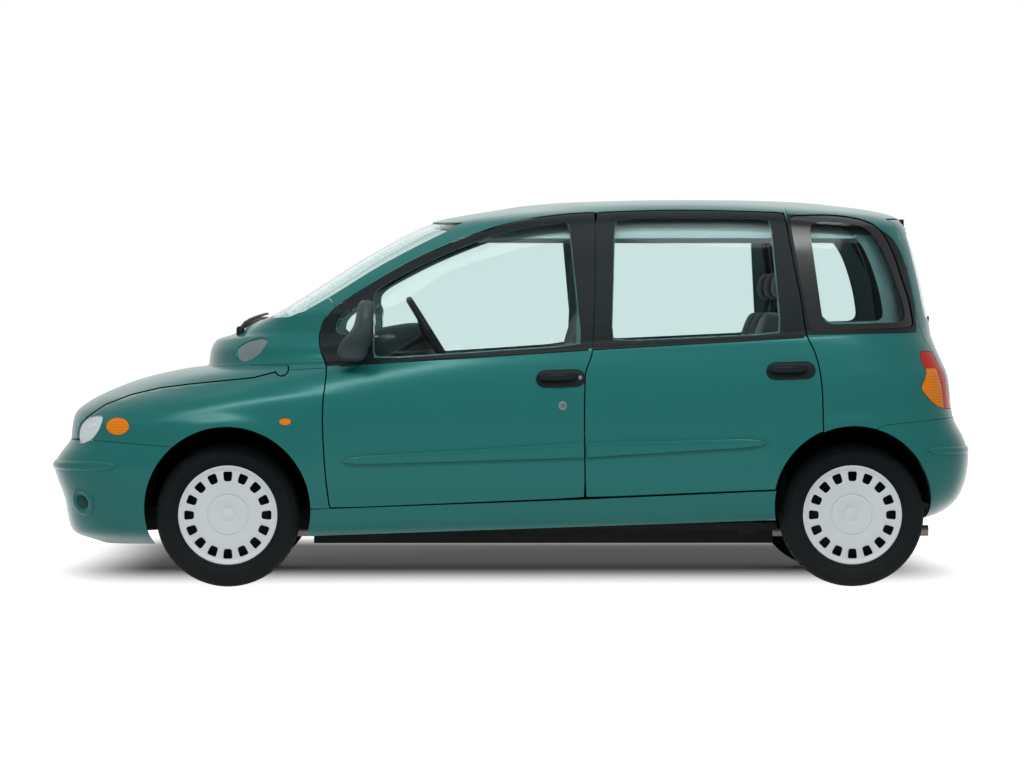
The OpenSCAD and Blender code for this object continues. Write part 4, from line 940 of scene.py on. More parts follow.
class VAN_OT_lamps(bpy.types.Operator):
    """Headlamps, ridge lamps, indicators and tail lamps"""
    bl_idname = "van.lamps"
    bl_label = "Lamps"

    def execute(self, context):
        shell, finish = kit(context)
        low, high = lamp_tools()
        lens = [shell.layer(0, 0.006, tool) for tool in low + high]
        shown(joined("lamp", *lens), "headlamp_lenses", "body", finish.lens, "headlamps")
        for name, tools, reach, material in (
                ("headlamp", low, 1.955, finish.silver), ("beam", high, 1.305, finish.beam)):
            fills = []
            for tool in tools:
                middle = sum((Vector(v.co) for v in tool.data.vertices), Vector()) / len(tool.data.vertices)
                bowl = pebble((reach, middle.y, middle.z), (0.075, 0.050, 0.050))
                fills.append(carved("lamp", tool, ("INTERSECT", shell.core(0.0085)),
                                    *minus(bowl, back_of(reach - 0.30))))
            shown(joined("lamp", *fills), name + "_reflectors", "body", material)
        lenses = [shell.layer(0, 0.02, tool) for tool in signal_tools()]
        shown(joined("lamp", *lenses), "indicator_lenses", "body", finish.amber, "indicators")
        gap = context.scene.van_body.gap
        tail = shell.layer(0, LAMP_DEPTH, shell.side(TAIL_LAMP, -FIT, LAMP_ROUND),
                           shell.end(TAILGATE, False, gap / 2))
        amber = shell.side(TAIL_AMBER, 0, 0.012)
        outer, inner = carved("lamp", tail, ("DIFFERENCE", amber)), carved("lamp", tail, ("INTERSECT", amber))
        shown(outer, "tail_lenses_red", "body", finish.red, "tail_lamps")
        shown(inner, "tail_lenses_amber", "body", finish.amber)
        return {"FINISHED"}


def on_side(shell, path, half, lift, across=10):
    """A moulded strip on the body side: a path of (x, z), a half height at each point, and a rounded top."""
    bm = bmesh.new()
    along = len(path) - 1
    bmesh.ops.create_grid(bm, x_segments=along, y_segments=across, size=0.5)
    for v in bm.verts:
        i, t = round((v.co.x + 0.5) * along), 2 * v.co.y
        x, z = path[i]
        z += t * half[i]
        rise = lift * min(1.0, half[i] / (max(half) * 0.5)) ** 0.5
        v.co = (x, shell.out(x, z) + (1 - abs(t) ** 8) * (rise + STRIP_TUCK) - STRIP_TUCK, z)
    bmesh.ops.recalc_face_normals(bm, faces=bm.faces)
    if sum(f.normal.y for f in bm.faces) < 0:
        bmesh.ops.reverse_faces(bm, faces=bm.faces)
    rim = [e for e in bm.edges if e.is_boundary]
    back = new_verts(bmesh.ops.extrude_edge_only(bm, edges=rim))
    bmesh.ops.translate(bm, vec=(0, -STRIP_TUCK, 0), verts=back)
    return sealed("strip", bm)


def tapered(x0, z0, x1, z1, half0, half1, tip0=0.0, tip1=0.0, count=40):
    """Points and half heights of a straight strip whose ends may run out to a rounded tip."""
    path, half = [], []
    reach = abs(x1 - x0)
    for i in range(count + 1):
        t = i / count
        at = t * reach
        h = half0 + (half1 - half0) * t
        if tip0 and at < tip0:
            h *= math.sqrt(max(0.0025, 1 - (1 - at / tip0) ** 2))
        if tip1 and reach - at < tip1:
            h *= math.sqrt(max(0.0025, 1 - (1 - (reach - at) / tip1) ** 2))
        path.append((x0 + (x1 - x0) * t, z0 + (z1 - z0) * t))
        half.append(h)
    return path, half


def rounded_bar(points, radius, sides):
    """A round bar along a line of points, with one radius or a radius at each point."""
    bm = bmesh.new()
    points = [Vector(p) for p in points]
    rings = []
    for i, p in enumerate(points):
        before, after = points[max(0, i - 1)], points[min(len(points) - 1, i + 1)]
        facing = (after - before).normalized().to_track_quat("Z", "Y").to_matrix().to_4x4()
        r = radius[i] if isinstance(radius, (list, tuple)) else radius
        place = Matrix.Translation(p) @ facing
        rings.append(bmesh.ops.create_circle(bm, segments=sides, radius=r, matrix=place)["verts"])
    return bridged("bar", bm, rings)


def pebble(centre, radii, levels=4):
    """A rounded lump with three half sizes."""
    bm = bmesh.new()
    bmesh.ops.create_icosphere(bm, subdivisions=levels, radius=1.0)
    bmesh.ops.scale(bm, vec=radii, verts=bm.verts)
    bmesh.ops.translate(bm, vec=centre, verts=bm.verts)
    return new_object("pebble", bm)


def swelled(rings, sides=36, fine=4):
    """A closed form through level ellipses: each a centre and its half sizes along X and Y, eased between."""
    rows = np.array(rings)
    slope = np.gradient(rows, axis=0)
    fuller = []
    for i in range(len(rows) - 1):
        for k in range(fine):
            fuller.append(eased(k / fine, rows[i], rows[i + 1], slope[i], slope[i + 1]))
    fuller.append(rows[-1])
    bm = bmesh.new()
    loops = []
    for x, y, z, along, across in fuller:
        place = Matrix.Translation((x, y, z)) @ Matrix.Diagonal((along, across, 1, 1))
        loops.append(set(bmesh.ops.create_circle(bm, segments=sides, radius=1.0, matrix=place)["verts"]))
    return bridged("swelled", bm, loops)


def round_corner(shell, pivot, turns, z, half, lift, across=8):
    """A moulded strip that follows the shell round a corner, met by rays from a pivot; rounded at its last end."""
    bm = bmesh.new()
    along = len(turns) - 1
    bmesh.ops.create_grid(bm, x_segments=along, y_segments=across, size=0.5)
    for v in bm.verts:
        i, t = round((v.co.x + 0.5) * along), 2 * v.co.y
        ray = Vector((math.cos(turns[i]), math.sin(turns[i]), 0))
        high = half * math.sqrt(max(0.01, 1 - max(0.0, (i - along + 5) / 5) ** 2))
        foot = Vector((*pivot, z + t * high))
        hit = shell.tree.ray_cast(foot + ray * 2, -ray)[0]
        v.co = hit + ray * ((1 - abs(t) ** 4) * (lift + STRIP_TUCK) - STRIP_TUCK)
    rim = [e for e in bm.edges if e.is_boundary]
    for v in new_verts(bmesh.ops.extrude_edge_only(bm, edges=rim)):
        v.co -= (v.co - Vector((*pivot, v.co.z))).normalized() * STRIP_TUCK
    return sealed("strip", bm)


def both_sides(piece, name, ride, material, node=None, angle=30):
    """A left piece and its right twin, each riding on its own side's body."""
    twin = flipped(piece)
    for obj, side in ((piece, "left"), (twin, "right")):
        stands_for = node.format(side=side) if node else None
        shown(obj, f"{name}_{side}", ride.format(side=side), material, stands_for, angle)


FRONT_PIVOT, REAR_PIVOT = (1.45, 0.40), (-1.55, 0.40)  # X and Y that a bumper's corner turns about


class VAN_OT_trim(bpy.types.Operator):
    """Rub strips, door handles, locks, waist strips, mirrors and wipers"""
    bl_idname = "van.trim"
    bl_label = "Trim"

    def execute(self, context):
        shell, finish = kit(context)
        lift = context.scene.van_trim.strip
        front = on_side(shell, *tapered(0.738, 0.540, -0.298, 0.586, 0.020, 0.038, tip0=0.14), lift)
        rear = on_side(shell, *tapered(-0.311, 0.587, -1.083, 0.620, 0.038, 0.020, tip1=0.14), lift)
        both_sides(front, "front_rub_strip", "front_door_{side}", finish.paint)
        both_sides(rear, "rear_rub_strip", "rear_door_{side}", finish.paint)
        for name, x, z in (("front", -0.199, 0.891), ("rear", -1.178, 0.924)):
            y = shell.out(x, z)
            ends = tapered(x + 0.106, z - 0.003, x - 0.106, z + 0.003, 0.042, 0.042, tip0=0.045, tip1=0.045)
            cup = on_side(shell, *ends, 0.007)
            bows = ((0.090, 0.002, 0.004), (0.075, 0.020, 0.006), (0.01, 0.026, 0.008), (-0.045, 0.022, 0.008),
                    (-0.062, 0.004, 0.008))
            points = [Vector((x, y, z)) + Vector(p) for p in bows]
            grip = rounded_bar(points, [0.012, 0.016, 0.019, 0.016, 0.012], 16)
            both_sides(joined("handle", cup, grip), f"{name}_handle", name + "_door_{side}", finish.plastic,
                       angle=45)
            if name == "front":
                button = pebble((x - 0.083, y + 0.008, z + 0.004), (0.009, 0.004, 0.009), levels=3)
                both_sides(button, "handle_button", "front_door_{side}", finish.beam, angle=60)
        x, z = -0.2075, 0.7755
        y = shell.out(x, z)
        lock = turned(((0.002, 0.0), (0.019, 0.0), (0.019, 0.004), (0.015, 0.006), (0.008, 0.006), (0.006, 0.003),
                       (0.002, 0.003)), (x, y - 0.001, z), "Y", 32)
        both_sides(lock, "door_lock", "front_door_{side}", finish.beam)
        for name, ends in (("front", (0.742, 0.9497, -0.318, 1.0168)), ("rear", (-0.333, 1.0180, -1.236, 1.0700))):
            strip = on_side(shell, *tapered(*ends, 0.007, 0.007), 0.005, across=6)
            both_sides(strip, f"{name}_waist_strip", name + "_door_{side}", finish.plastic)
        self.bumpers(shell, finish)
        self.mirrors(finish)
        hub = turned(((0.001, 0.0), (0.017, 0.0), (0.017, -0.016), (0.012, -0.022), (0.012, -0.036),
                      (0.001, -0.038)), (shell.behind(0.0, 1.144) + 0.006, 0.0, 1.144), "X", 28)
        shown(hub, "rear_wiper_hub", "tailgate", finish.plastic, angle=40)
        self.wipers(shell, finish)
        return {"FINISHED"}

    def bumpers(self, shell, finish):
        """Rub strips round the bumper corners, and the ringed pods low in the front one."""
        for name, pivot, start, sweep, z, half, lift in (
                ("front", FRONT_PIVOT, 0, 62.0, 0.516, 0.023, 0.007),
                ("rear", REAR_PIVOT, 180, -66.0, 0.582, 0.018, 0.006)):
            turns = [math.radians(start + a) for a in np.linspace(0.0, sweep, 40)]
            strip = round_corner(shell, pivot, turns, z, half, lift)
            shown(joined("strip", strip, flipped(strip)), name + "_bumper_strip", "body", finish.paint)
        ray = Vector((math.cos(math.radians(40)), math.sin(math.radians(40)), 0))
        hit, out = shell.tree.ray_cast(Vector((*FRONT_PIVOT, 0.362)) + ray * 2, -ray)[:2]
        face = out.to_track_quat("Z", "Y").to_matrix().to_4x4()
        pod = torus(0.050, 0.016, 0.012, 20, 48)
        pod.data.transform(Matrix.Translation(hit - out * 0.004) @ face)
        disc = turned(((0.001, -0.004), (0.001, 0.003), (0.030, 0.0015), (0.040, -0.004)), (0, 0, 0), "Z", 40)
        disc.data.transform(Matrix.Translation(hit) @ face)
        both_sides(pod, "pod_ring", "body", finish.paint, angle=60)
        # The pod cap's dark green is painted shade of the recess inside the ring
        both_sides(disc, "pod_cap", "body", finish.shadow, angle=40)

    def mirrors(self, finish):
        """Ear-shaped cases on a foot, each with its glass towards the rear."""
        case = swelled(((0.690, 0.878, 0.962, 0.030, 0.020), (0.690, 0.886, 0.974, 0.054, 0.036),
                        (0.688, 0.894, 0.995, 0.064, 0.042), (0.680, 0.908, 1.025, 0.064, 0.052),
                        (0.664, 0.930, 1.055, 0.062, 0.068), (0.646, 0.950, 1.085, 0.053, 0.082),
                        (0.634, 0.958, 1.115, 0.046, 0.086), (0.629, 0.960, 1.145, 0.042, 0.082),
                        (0.627, 0.960, 1.170, 0.040, 0.070), (0.626, 0.958, 1.195, 0.036, 0.054),
                        (0.626, 0.956, 1.212, 0.029, 0.038), (0.626, 0.955, 1.224, 0.015, 0.018)))
        both_sides(case, "mirror_case", "front_door_{side}", finish.case, "mirror_{side}", 60)
        face = pebble((0.592, 0.958, 1.118), (0.006, 0.066, 0.060))
        both_sides(face, "mirror_face", "front_door_{side}", finish.chrome, angle=60)

    def wipers(self, shell, finish):
        """An arm and a blade each, bowed along the foot of the windscreen."""
        for name, y0, y1 in (("near", 0.42, -0.22), ("far", -0.16, -0.66)):
            pivot = Vector((1.185, y0, shell.top(1.185, y0) + 0.014))
            points = [pivot + Vector((0, 0, -0.03)), pivot]
            for i in range(1, 9):
                t = i / 8
                x, y = 1.185 - 0.09 * math.sin(t * math.pi / 2), y0 + (y1 - y0) * t
                points.append(Vector((x, y, shell.top(x, y) + 0.024)))
            arm = rounded_bar(points, [0.012, 0.012] + [0.009 - 0.004 * i / 8 for i in range(1, 9)], 10)
            points = []
            for i in range(13):
                t = i / 12
                x, y = 1.168 - 0.07 * math.sin(t * math.pi / 2), y0 - 0.1 + (y1 - y0 - 0.05) * t
                points.append(Vector((x, y, shell.top(x, y) + 0.008)))
            blade = rounded_bar(points, 0.006, 8)
            cap = turned(((0.002, -0.02), (0.018, -0.02), (0.018, 0.008), (0.012, 0.016), (0.002, 0.018)),
                         pivot, "Z", 24)
            shown(joined("wiper", arm, blade, cap), f"wiper_{name}", "body", finish.plastic, angle=45)


class VAN_OT_wheels(bpy.types.Operator):
    """Tyres with cut tread, slotted covers and the steel wheels behind them"""
    bl_idname = "van.wheels"
    bl_label = "Wheels"

    def execute(self, context):
        _, finish = kit(context)
        wheels = context.scene.van_wheels
        tyre, cover, steel = self.tyre(wheels.tread), self.cover(wheels.slots), self.steel()
        front, rear = (axle[0] for axle in AXLES)
        for name, x, side in (("front_left", front, 1), ("front_right", front, -1),
                              ("rear_left", rear, 1), ("rear_right", rear, -1)):
            facing = Matrix.Rotation(0 if side > 0 else math.pi, 4, "Z")
            place = Matrix.Translation((x, side * HUB_Y, HUB_Z)) @ facing
            ride = "wheel_" + name
            for source, label, material, node, slot in (
                    (tyre, "tyre_", finish.tyre, "tyre_" + name, "rubber"),
                    (cover, "cover_", finish.cover, ride, "silver"),
                    (steel, "steel_wheel_", finish.steel, None, "steel")):
                copy = bpy.data.objects.new(label, source.data.copy())
                copy.data.transform(place)
                shown(copy, label + name, ride, material, node, 35)
        return {"FINISHED"}

    def tyre(self, tread):
        """A carcass spun from its section, with four grooves round it and blocks cut into its shoulders."""
        crown, steps = 0.3074, 144
        groove = crown - tread
        half = [(0.2000, 0.0680), (0.2050, 0.0700), (0.2115, 0.0790), (0.2190, 0.0880), (0.2230, 0.0900),
                (0.2255, 0.0888), (0.2290, 0.0925), (0.2420, 0.0965), (0.2440, 0.0955), (0.2460, 0.0972),
                (0.2600, 0.0970), (0.2740, 0.0945), (0.2760, 0.0928), (0.2860, 0.0900), (0.2980, 0.0820),
                (0.3030, 0.0730), (0.3050, 0.0660), (0.3062, 0.0560), (groove, 0.0540), (groove, 0.0460),
                (0.3068, 0.0440), (crown, 0.0250), (groove, 0.0230), (groove, 0.0140), (crown, 0.0120)]
        section = half + [(r, -a) for r, a in reversed(half)]
        obj = turned(section, (0, 0, 0), "Y", steps)
        bm = bmesh.new()
        bm.from_mesh(obj.data)
        blocks = []
        for face in bm.faces:
            middle = face.calc_center_median()
            radius, turn = math.hypot(middle.x, middle.z), math.atan2(middle.z, middle.x)
            k = round((turn / math.tau) * steps - 0.5)
            wide = abs(middle.y)
            on_shoulder = radius > 0.301 and 0.058 < wide < 0.080
            on_rib = radius > 0.3055 and 0.026 < wide < 0.043
            if (on_shoulder and k % 3 == 0) or (on_rib and k % 4 == (0 if middle.y > 0 else 2)):
                blocks.append(face)
        bmesh.ops.inset_individual(bm, faces=blocks, thickness=0.0006, depth=0.0)
        for face in blocks:
            middle = face.calc_center_median()
            inwards = Vector((-middle.x, 0, -middle.z)).normalized() * tread * 0.7
            bmesh.ops.translate(bm, vec=inwards, verts=face.verts)
        bm.to_mesh(obj.data)
        bm.free()
        return obj

    def cover(self, slots):
        """A dished plastic cover: centre disc, raised ring of trapezoid slots and rolled rim."""
        face = [(0.0004, 0.0675), (0.0260, 0.0675), (0.0290, 0.0660), (0.0320, 0.0675), (0.0830, 0.0690),
                (0.0855, 0.0668), (0.0885, 0.0668), (0.0910, 0.0698), (0.1200, 0.0745), (0.1390, 0.0770),
                (0.1640, 0.0778), (0.1900, 0.0765), (0.1960, 0.0790), (0.2040, 0.0835), (0.2090, 0.0845),
                (0.2115, 0.0830), (0.2110, 0.0800)]
        back = [(0.2060, 0.0790), (0.1960, 0.0755), (0.1900, 0.0735), (0.1640, 0.0748), (0.1390, 0.0740),
                (0.1200, 0.0715), (0.0910, 0.0665), (0.0004, 0.0640)]
        obj = turned(face + back, (0, 0, 0), "Y", 160)
        holes, dips = [], []
        corners = [Vector(p) for p in ((0.1440, -0.0160), (0.1860, -0.0205), (0.1860, 0.0205), (0.1440, 0.0160))]
        for i in range(slots):
            turn = Matrix.Rotation(math.tau * i / slots, 2)
            holes.append(prism([turn @ p for p in curved(corners, 0.010)], 1, 0.05, 0.1))
            dips.append(prism([turn @ p for p in curved(grown(corners, 0.0055), 0.013)], 1, 0.0757, 0.1))
        return carved("cover", obj, *minus(joined("tool", *dips), joined("tool", *holes)))

    def steel(self):
        """Rim barrel and dished disc."""
        rim = turned(((0.2020, -0.0740), (0.2020, 0.0680), (0.1960, 0.0680), (0.1900, 0.0560), (0.1880, -0.0640),
                      (0.1960, -0.0740)), (0, 0, 0), "Y", 64)
        disc = turned(((0.0190, 0.0350), (0.0600, 0.0420), (0.1000, 0.0500), (0.1400, 0.0440), (0.1700, 0.0240),
                       (0.1890, 0.0200), (0.1890, 0.0140), (0.1680, 0.0170), (0.1380, 0.0370), (0.1000, 0.0430),
                       (0.0600, 0.0350), (0.0190, 0.0280)), (0, 0, 0), "Y", 64)
        return joined("steel", rim, disc)


def cushion(size, crown=0.0, channels=(), roll=5.0, waist=0.0):
    """A padded block round its own middle: rounded, crowned, and held along its channels and its base."""
    bm = bmesh.new()
    bmesh.ops.create_cube(bm, size=2.0)
    bmesh.ops.subdivide_edges(bm, edges=bm.edges, cuts=17, use_grid_fill=True)
    held = []
    for v in bm.verts:
        p = v.co
        r = (abs(p.x) ** roll + abs(p.y) ** roll + abs(p.z) ** roll) ** (1 / roll)
        q = p / r
        swell = (1 - q.x ** 2) * (1 - q.y ** 2)
        z = q.z * (1 + crown / size[2] * 2 * swell)
        sewn = [math.exp(-((q.y - place) / 0.035) ** 2) for place in channels]
        z -= math.copysign(0.16 * sum(sewn) * max(0.0, 1 - abs(q.x)) ** 0.3, q.z)
        y = q.y * (1 - waist * (1 - q.x ** 2))
        v.co = Vector((q.x * size[0] / 2, y * size[1] / 2, z * size[2] / 2))
        held.append(q.z < -0.5 or max(sewn, default=0.0) > 0.3)
    obj = new_object("cushion", bm)
    obj.vertex_groups.new(name="held").add([i for i, is_held in enumerate(held) if is_held], 1.0, "ADD")
    return obj


def stuffed(obj, pressure=4.0, frames=20, most=0.010):
    """The cover after a cloth simulation: blown up from inside, held at its seams, moved no further than a limit."""
    scene = bpy.context.scene
    scene.collection.objects.link(obj)
    cloth = obj.modifiers.new("cover", "CLOTH")
    cloth.settings.quality, cloth.settings.mass = 5, 0.2
    cloth.settings.use_pressure, cloth.settings.uniform_pressure_force = True, pressure
    cloth.settings.vertex_group_mass = "held"
    cloth.settings.effector_weights.gravity = 0.0
    cloth.point_cache.frame_start, cloth.point_cache.frame_end = 1, frames
    for number in range(1, frames + 1):
        scene.frame_set(number)
    swollen = bpy.data.meshes.new_from_object(obj.evaluated_get(bpy.context.evaluated_depsgraph_get()))
    for before, after in zip(obj.data.vertices, swollen.vertices):
        move = after.co - before.co
        before.co += move * min(1.0, most / max(move.length, 1e-9))
    obj.modifiers.clear()
    obj.vertex_groups.clear()
    scene.collection.objects.unlink(obj)
    scene.frame_set(1)
    return obj


def placed(obj, centre, turn=None):
    """A copy of a piece, turned and moved to its place."""
    copy = bpy.data.objects.new(obj.name, obj.data.copy())
    copy.data.transform(Matrix.Translation(centre) @ (turn or Matrix.Identity(3)).to_4x4())
    return copy


# The middle of the steering wheel, with its axis along Z
STEERING = Matrix.Translation((0.360, 0.440, 1.083)) @ Matrix.Rotation(math.radians(-58), 4, "Y")


class VAN_OT_cabin(bpy.types.Operator):
    """Six seats, dashboard, steering wheel and carpet"""
    bl_idname = "van.cabin"
    bl_label = "Cabin"

    def execute(self, context):
        shell, finish = kit(context)
        crown = context.scene.van_cabin.crown
        lean = Matrix.Rotation(math.radians(-100), 3, "Y")
        tip = Matrix.Rotation(math.radians(-3), 3, "Y")
        seat_pad = stuffed(cushion((0.560, 0.425, 0.125), crown, (-0.55, 0.55)))
        back_pad = stuffed(cushion((0.620, 0.415, 0.120), crown, (-0.55, 0.55), waist=0.05))
        rest_pad = stuffed(cushion((0.115, 0.265, 0.085), crown * 0.6, roll=3.6))
        for row, x in (("front", -0.230), ("rear", -1.030)):
            for k, y in (("left", 0.470), ("middle", 0.0), ("right", -0.470)):
                base = Vector((x, y, 0.264))
                seat = placed(seat_pad, base + Vector((0.245, 0, 0.232)), tip)
                back = placed(back_pad, base + Vector((-0.055, 0, 0.600)), lean)
                rest = placed(rest_pad, base + Vector((-0.148, 0, 1.026)), lean)
                stems = [rounded_bar([base + Vector((-0.125, y, 0.88)), base + Vector((-0.146, y, 1.0))], 0.006, 10)
                         for y in (0.065, -0.065)]
                riser = placed(cushion((0.38, 0.28, 0.168), roll=14), base + Vector((0.20, 0, 0.085)))
                name = f"{row}_{k}"
                node = f"{row}_seats" if k == "left" else None
                pads = [shown(seat, f"cushion_{name}", "body", finish.cloth, node, 60),
                        shown(back, f"backrest_{name}", "body", finish.cloth, None, 60),
                        shown(rest, f"headrest_{name}", "body", finish.cloth, None, 60)]
                shown(joined("stems", *stems, riser), f"seat_base_{name}", "body", finish.dash)
        self.dashboard(finish)
        self.steering(finish)
        self.lining(shell, finish)
        carpet = block((-1.125, -0.742, 0.2642), (0.842, 0.742, 0.2692))
        shown(carpet, "floor_carpet", "body", finish.carpet)
        return {"FINISHED"}

    def dashboard(self, finish):
        """The moulding with the hole for the steering column, and the hood over the instruments in the middle."""
        section = [Vector((0.842 + a * 0.30, b * 1.67)) for a, b in
                   ((0, 0.42), (0, 0.598), (-0.5, 0.620), (-0.97, 0.575), (-1, 0.49), (-0.7, 0.42))]
        shape = prism(curved(section, 0.03, sharp=30), 1, -0.688, 0.688)
        column = drum(0, 0, 0, 0.0163, 0.66, 0, 24)
        column.data.transform(STEERING @ Matrix.Rotation(math.pi / 2, 4, "Y"))
        shape = carved("dash", shape, ("DIFFERENCE", column))
        shown(shape, "dashboard_moulding", "body", finish.dash, "dashboard", 40)
        slope = Matrix.Rotation(math.radians(10), 3, "Y")
        hood = placed(cushion((0.34, 0.40, 0.23), roll=4.0), (0.520, 0.0, 1.000), slope)
        shown(hood, "instrument_hood", "body", finish.dash, angle=60)

    def lining(self, shell, finish):
        """Headlining, and the trim inside the rear quarters."""
        roof = shell.layer(0.082, 0.082 + SHEET, block((-1.64, -WIDE, 1.492), (0.36, WIDE, 2.0)))
        shown(roof, "headlining", "body", finish.lining)
        edge = ((-0.318, 0.550), (-0.303, 0.930), (-0.380, 0.935), (-0.412, 0.800), (-0.428, 0.550))
        view = ((-0.318, 0.930), (-0.331, 0.676), (-0.400, 0.680), (-0.392, 0.780), (-0.375, 0.880), (-0.352, 0.925))
        quarter = shell.layer(0.071, 0.071 + SHEET, shell.side(edge, smooth=False), shell.side(view, 0, 0.05))
        shown(quarter, "quarter_lining", "body", finish.pillar)

    def steering(self, finish):
        """Rim, hub, shaft and three spokes."""
        rim = torus(0.170, 0.0145, 0.0145, 16, 72)
        hub = pebble((0, 0, -0.018), (0.058, 0.066, 0.018))
        shaft = rounded_bar([(0, 0, -0.32), (0, 0, -0.01)], 0.0155, 20)
        spokes = []
        for turn in (60, 180, 300):
            x, y = math.cos(math.radians(turn)), math.sin(math.radians(turn))
            points = [(r * x, r * y, z) for r, z in ((0.03, -0.016), (0.10, -0.014), (0.168, -0.002))]
            spokes.append(rounded_bar(points, [0.016, 0.012, 0.010], 12))
        wheel = joined("steering", rim, hub, shaft, *spokes)
        wheel.data.transform(STEERING)
        shown(wheel, "steering_wheel_rim", "steering", finish.plastic, "steering_wheel", 50)


class VAN_OT_underside(bpy.types.Operator):
    """Finishes of the solids that show as they are"""
    bl_idname = "van.underside"
    bl_label = "Chassis finishes"

    def execute(self, context):
        _, finish = kit(context)
        for material, names in (
                # The steel finish's near-black is partly painted shade under the car
                (finish.steel, ("floor_pan", "engine_block", "front_subframe", "rear_axle", "door_posts")),
                (finish.liner, ("wheel_housings",)), (finish.pipe, ("exhaust",)), (finish.plastic, ("fuel_tank",)),
                (finish.alloy, ("knuckle_left", "knuckle_right"))):
            for name in names:
                mesh = frame["nodes"][name].data
                mesh.materials.clear()
                mesh.materials.append(material)
        return {"FINISHED"}


# Where the patch of painted shadow on the floor begins and is whole, along X and Y; in it the floor's glow also fades
# so that the lamps' real shadow shows
PAINTED_SHADOW_ENDS = (("X", -2.3, -1.5), ("X", 2.3, 1.6), ("Y", 0.85, -0.75), ("Y", -4.2, -2.6))
FLOOR_HALF, FLOOR_DROP = 60.0, 0.001
EYE, AIM = Vector((0.199, 20.0, 1.144)), Vector((0.007, 0.85, 0.867))
# Name, place, aim, size across, size up and watts
LIGHTS = (("key", (0.2, 4.7, 5.9), (0.0, 0.6, 0.8), 7.5, 0.9, 330),
          ("overhead", (0.0, 0.0, 5.6), (0.0, 0.0, 0.8), 6.0, 1.2, 20),
          ("far_side", (0.0, -6.0, 4.0), (0.0, 0.0, 0.8), 7.0, 2.0, 15))
WHITE = (1, 1, 1, 1)


def area_light(name, place, aim, wide, high, watts):
    """A lit rectangle that faces a point."""
    light = bpy.data.lights.new(name, "AREA")
    light.shape, light.size, light.size_y, light.energy = "RECTANGLE", wide, high, watts
    obj = bpy.data.objects.new(name, light)
    obj.location = place
    obj.rotation_euler = (Vector(aim) - Vector(place)).to_track_quat("-Z", "Y").to_euler()
    bpy.context.scene.collection.objects.link(obj)


def background_rays(tree):
    """1 for the rays that show the white background: from the camera, and through glass or off metal."""
    path = add_node(tree, "LightPath")
    seen = add_math(tree, "MAXIMUM", path["Is Camera Ray"], path["Is Glossy Ray"])
    return add_math(tree, "MAXIMUM", seen, path["Is Transmission Ray"])


def painted_shadow_share(tree):
    """1 on the floor in a set patch under and behind the car, easing to 0 round it: the patch of painted shadow,
    where the glow also fades so that the real shadow shows.
    """
    place, share = add_node(tree, "SeparateXYZ", {0: add_place(tree)}), 1.0
    for axis, start, whole in PAINTED_SHADOW_ENDS:
        ease = add_node(tree, "MapRange", {"Value": place[axis], "From Min": start, "From Max": whole},
                        interpolation_type="SMOOTHSTEP")
        share = add_math(tree, "MULTIPLY", share, ease[0])
    return share


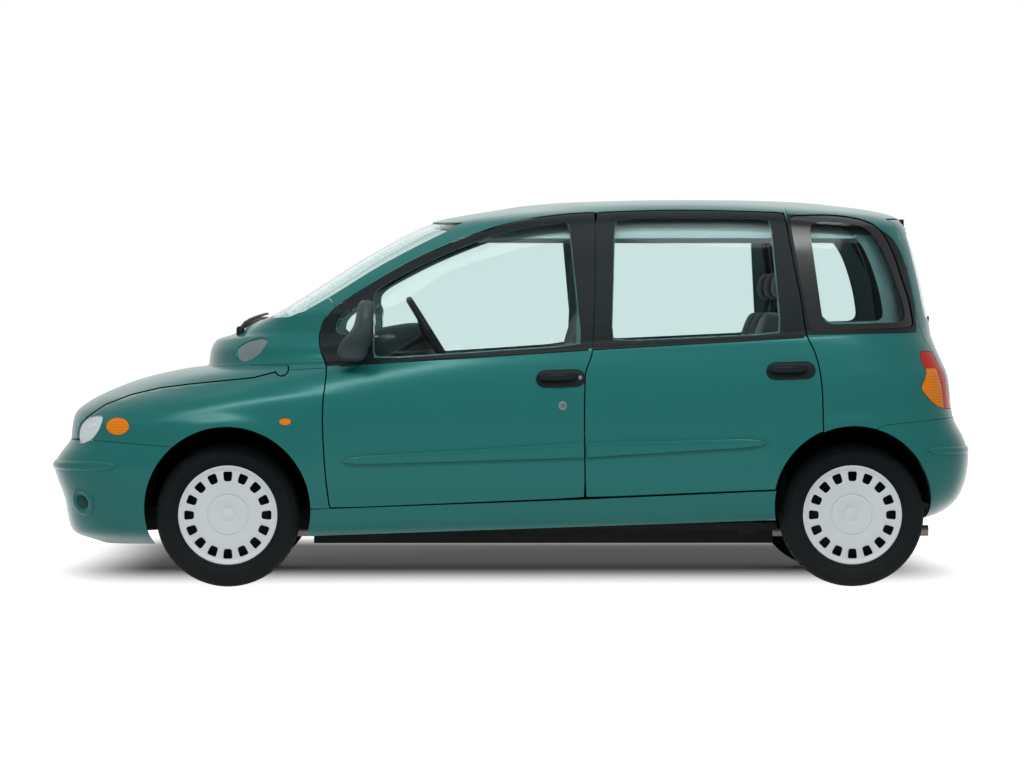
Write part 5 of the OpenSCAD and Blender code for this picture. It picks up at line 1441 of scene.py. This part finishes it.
class VAN_OT_stage(bpy.types.Operator):
    """Pale floor, soft studio light and the camera"""
    bl_idname = "van.stage"
    bl_label = "Studio"

    def execute(self, context):
        scene, stage = context.scene, context.scene.van_stage
        scene.view_settings.view_transform = "Standard"
        camera = bpy.data.cameras.new("camera")
        camera.lens, camera.sensor_width, camera.sensor_fit = stage.lens, 36.0, "HORIZONTAL"
        camera.clip_end = 200.0
        eye = bpy.data.objects.new("camera", camera)
        eye.location = EYE
        eye.rotation_euler = (AIM - EYE).to_track_quat("-Z", "Y").to_euler()
        scene.collection.objects.link(eye)
        scene.camera = eye
        self.floor(scene, stage)
        self.world(scene, stage)
        for light in LIGHTS:
            area_light(*light)
        return {"FINISHED"}

    def floor(self, scene, stage):
        """A plain that glows white for the background rays, less so in a set patch under and behind the car, where
        its colour is also darkened as painted shadow.
        """
        bm = bmesh.new()
        bmesh.ops.create_grid(bm, x_segments=2, y_segments=2, size=FLOOR_HALF)
        floor = new_object("studio_floor", bm)
        floor.location.z = -FLOOR_DROP
        material = bpy.data.materials.new("studio_floor")
        material.use_nodes = True
        tree = material.node_tree
        shaded = painted_shadow_share(tree)
        lit = add_node(tree, "MapRange", {"Value": shaded, "To Min": stage.lift, "To Max": 0.0})[0]
        feed(tree, tree.nodes["Principled BSDF"].inputs, {
            # Painted shadow: the floor's colour darkens in the patch under and behind the car
            "Base Color": add_mix(tree, shaded, (*stage.floor, 1), (*stage.shade, 1)),
            "Roughness": 0.9, "Specular IOR Level": 0.1, "Emission Color": WHITE,
            "Emission Strength": add_math(tree, "MULTIPLY", background_rays(tree), lit)})
        floor.data.materials.append(material)
        scene.collection.objects.link(floor)

    def world(self, scene, stage):
        """Soft light from all round, and plain white for the background rays."""
        scene.world = bpy.data.worlds.new("studio")
        scene.world.use_nodes = True
        tree = scene.world.node_tree
        sky = tree.nodes["Background"]
        feed(tree, sky.inputs, {"Color": WHITE, "Strength": stage.sky})
        white = add_node(tree, "Background", {"Color": WHITE, "Strength": 1.0})
        mix = add_node(tree, "MixShader", {0: background_rays(tree), 1: sky.outputs[0], 2: white[0]})
        feed(tree, tree.nodes["World Output"].inputs, {"Surface": mix[0]})


class VAN_PT_builder(bpy.types.Panel):
    """Sizes, colours and the steps that build the car"""
    bl_idname = "VAN_PT_builder"
    bl_label = "Compact minivan"
    bl_space_type = "VIEW_3D"
    bl_region_type = "UI"
    bl_category = "Minivan"

    def draw(self, context):
        for name in GROUPS:
            box = self.layout.box()
            for field in GROUPS[name].__annotations__:
                box.prop(getattr(context.scene, name), field)
        for step in STEPS:
            self.layout.operator(step.bl_idname)


GROUPS = {"van_body": VanBody, "van_trim": VanTrim, "van_wheels": VanWheels, "van_cabin": VanCabin,
          "van_stage": VanStage}
STEPS = (VAN_OT_stage, VAN_OT_panels, VAN_OT_doors, VAN_OT_closures, VAN_OT_glass, VAN_OT_lamps, VAN_OT_trim,
         VAN_OT_wheels, VAN_OT_cabin, VAN_OT_underside)


def register():
    for cls in (*GROUPS.values(), *STEPS, VAN_PT_builder):
        bpy.utils.register_class(cls)
    for name, cls in GROUPS.items():
        setattr(bpy.types.Scene, name, PointerProperty(type=cls))


def unregister():
    for name in GROUPS:
        delattr(bpy.types.Scene, name)
    for cls in (VAN_PT_builder, *reversed(STEPS), *GROUPS.values()):
        bpy.utils.unregister_class(cls)


def main():
    register()
    for step in STEPS:
        space, name = step.bl_idname.split(".")
        getattr(getattr(bpy.ops, space), name)()
    for obj in list(bpy.data.objects):
        if not obj.users_collection:
            bpy.data.objects.remove(obj)
    for mesh in [m for m in bpy.data.meshes if not m.users]:
        bpy.data.meshes.remove(mesh)


if __name__ == "__main__":
    main()
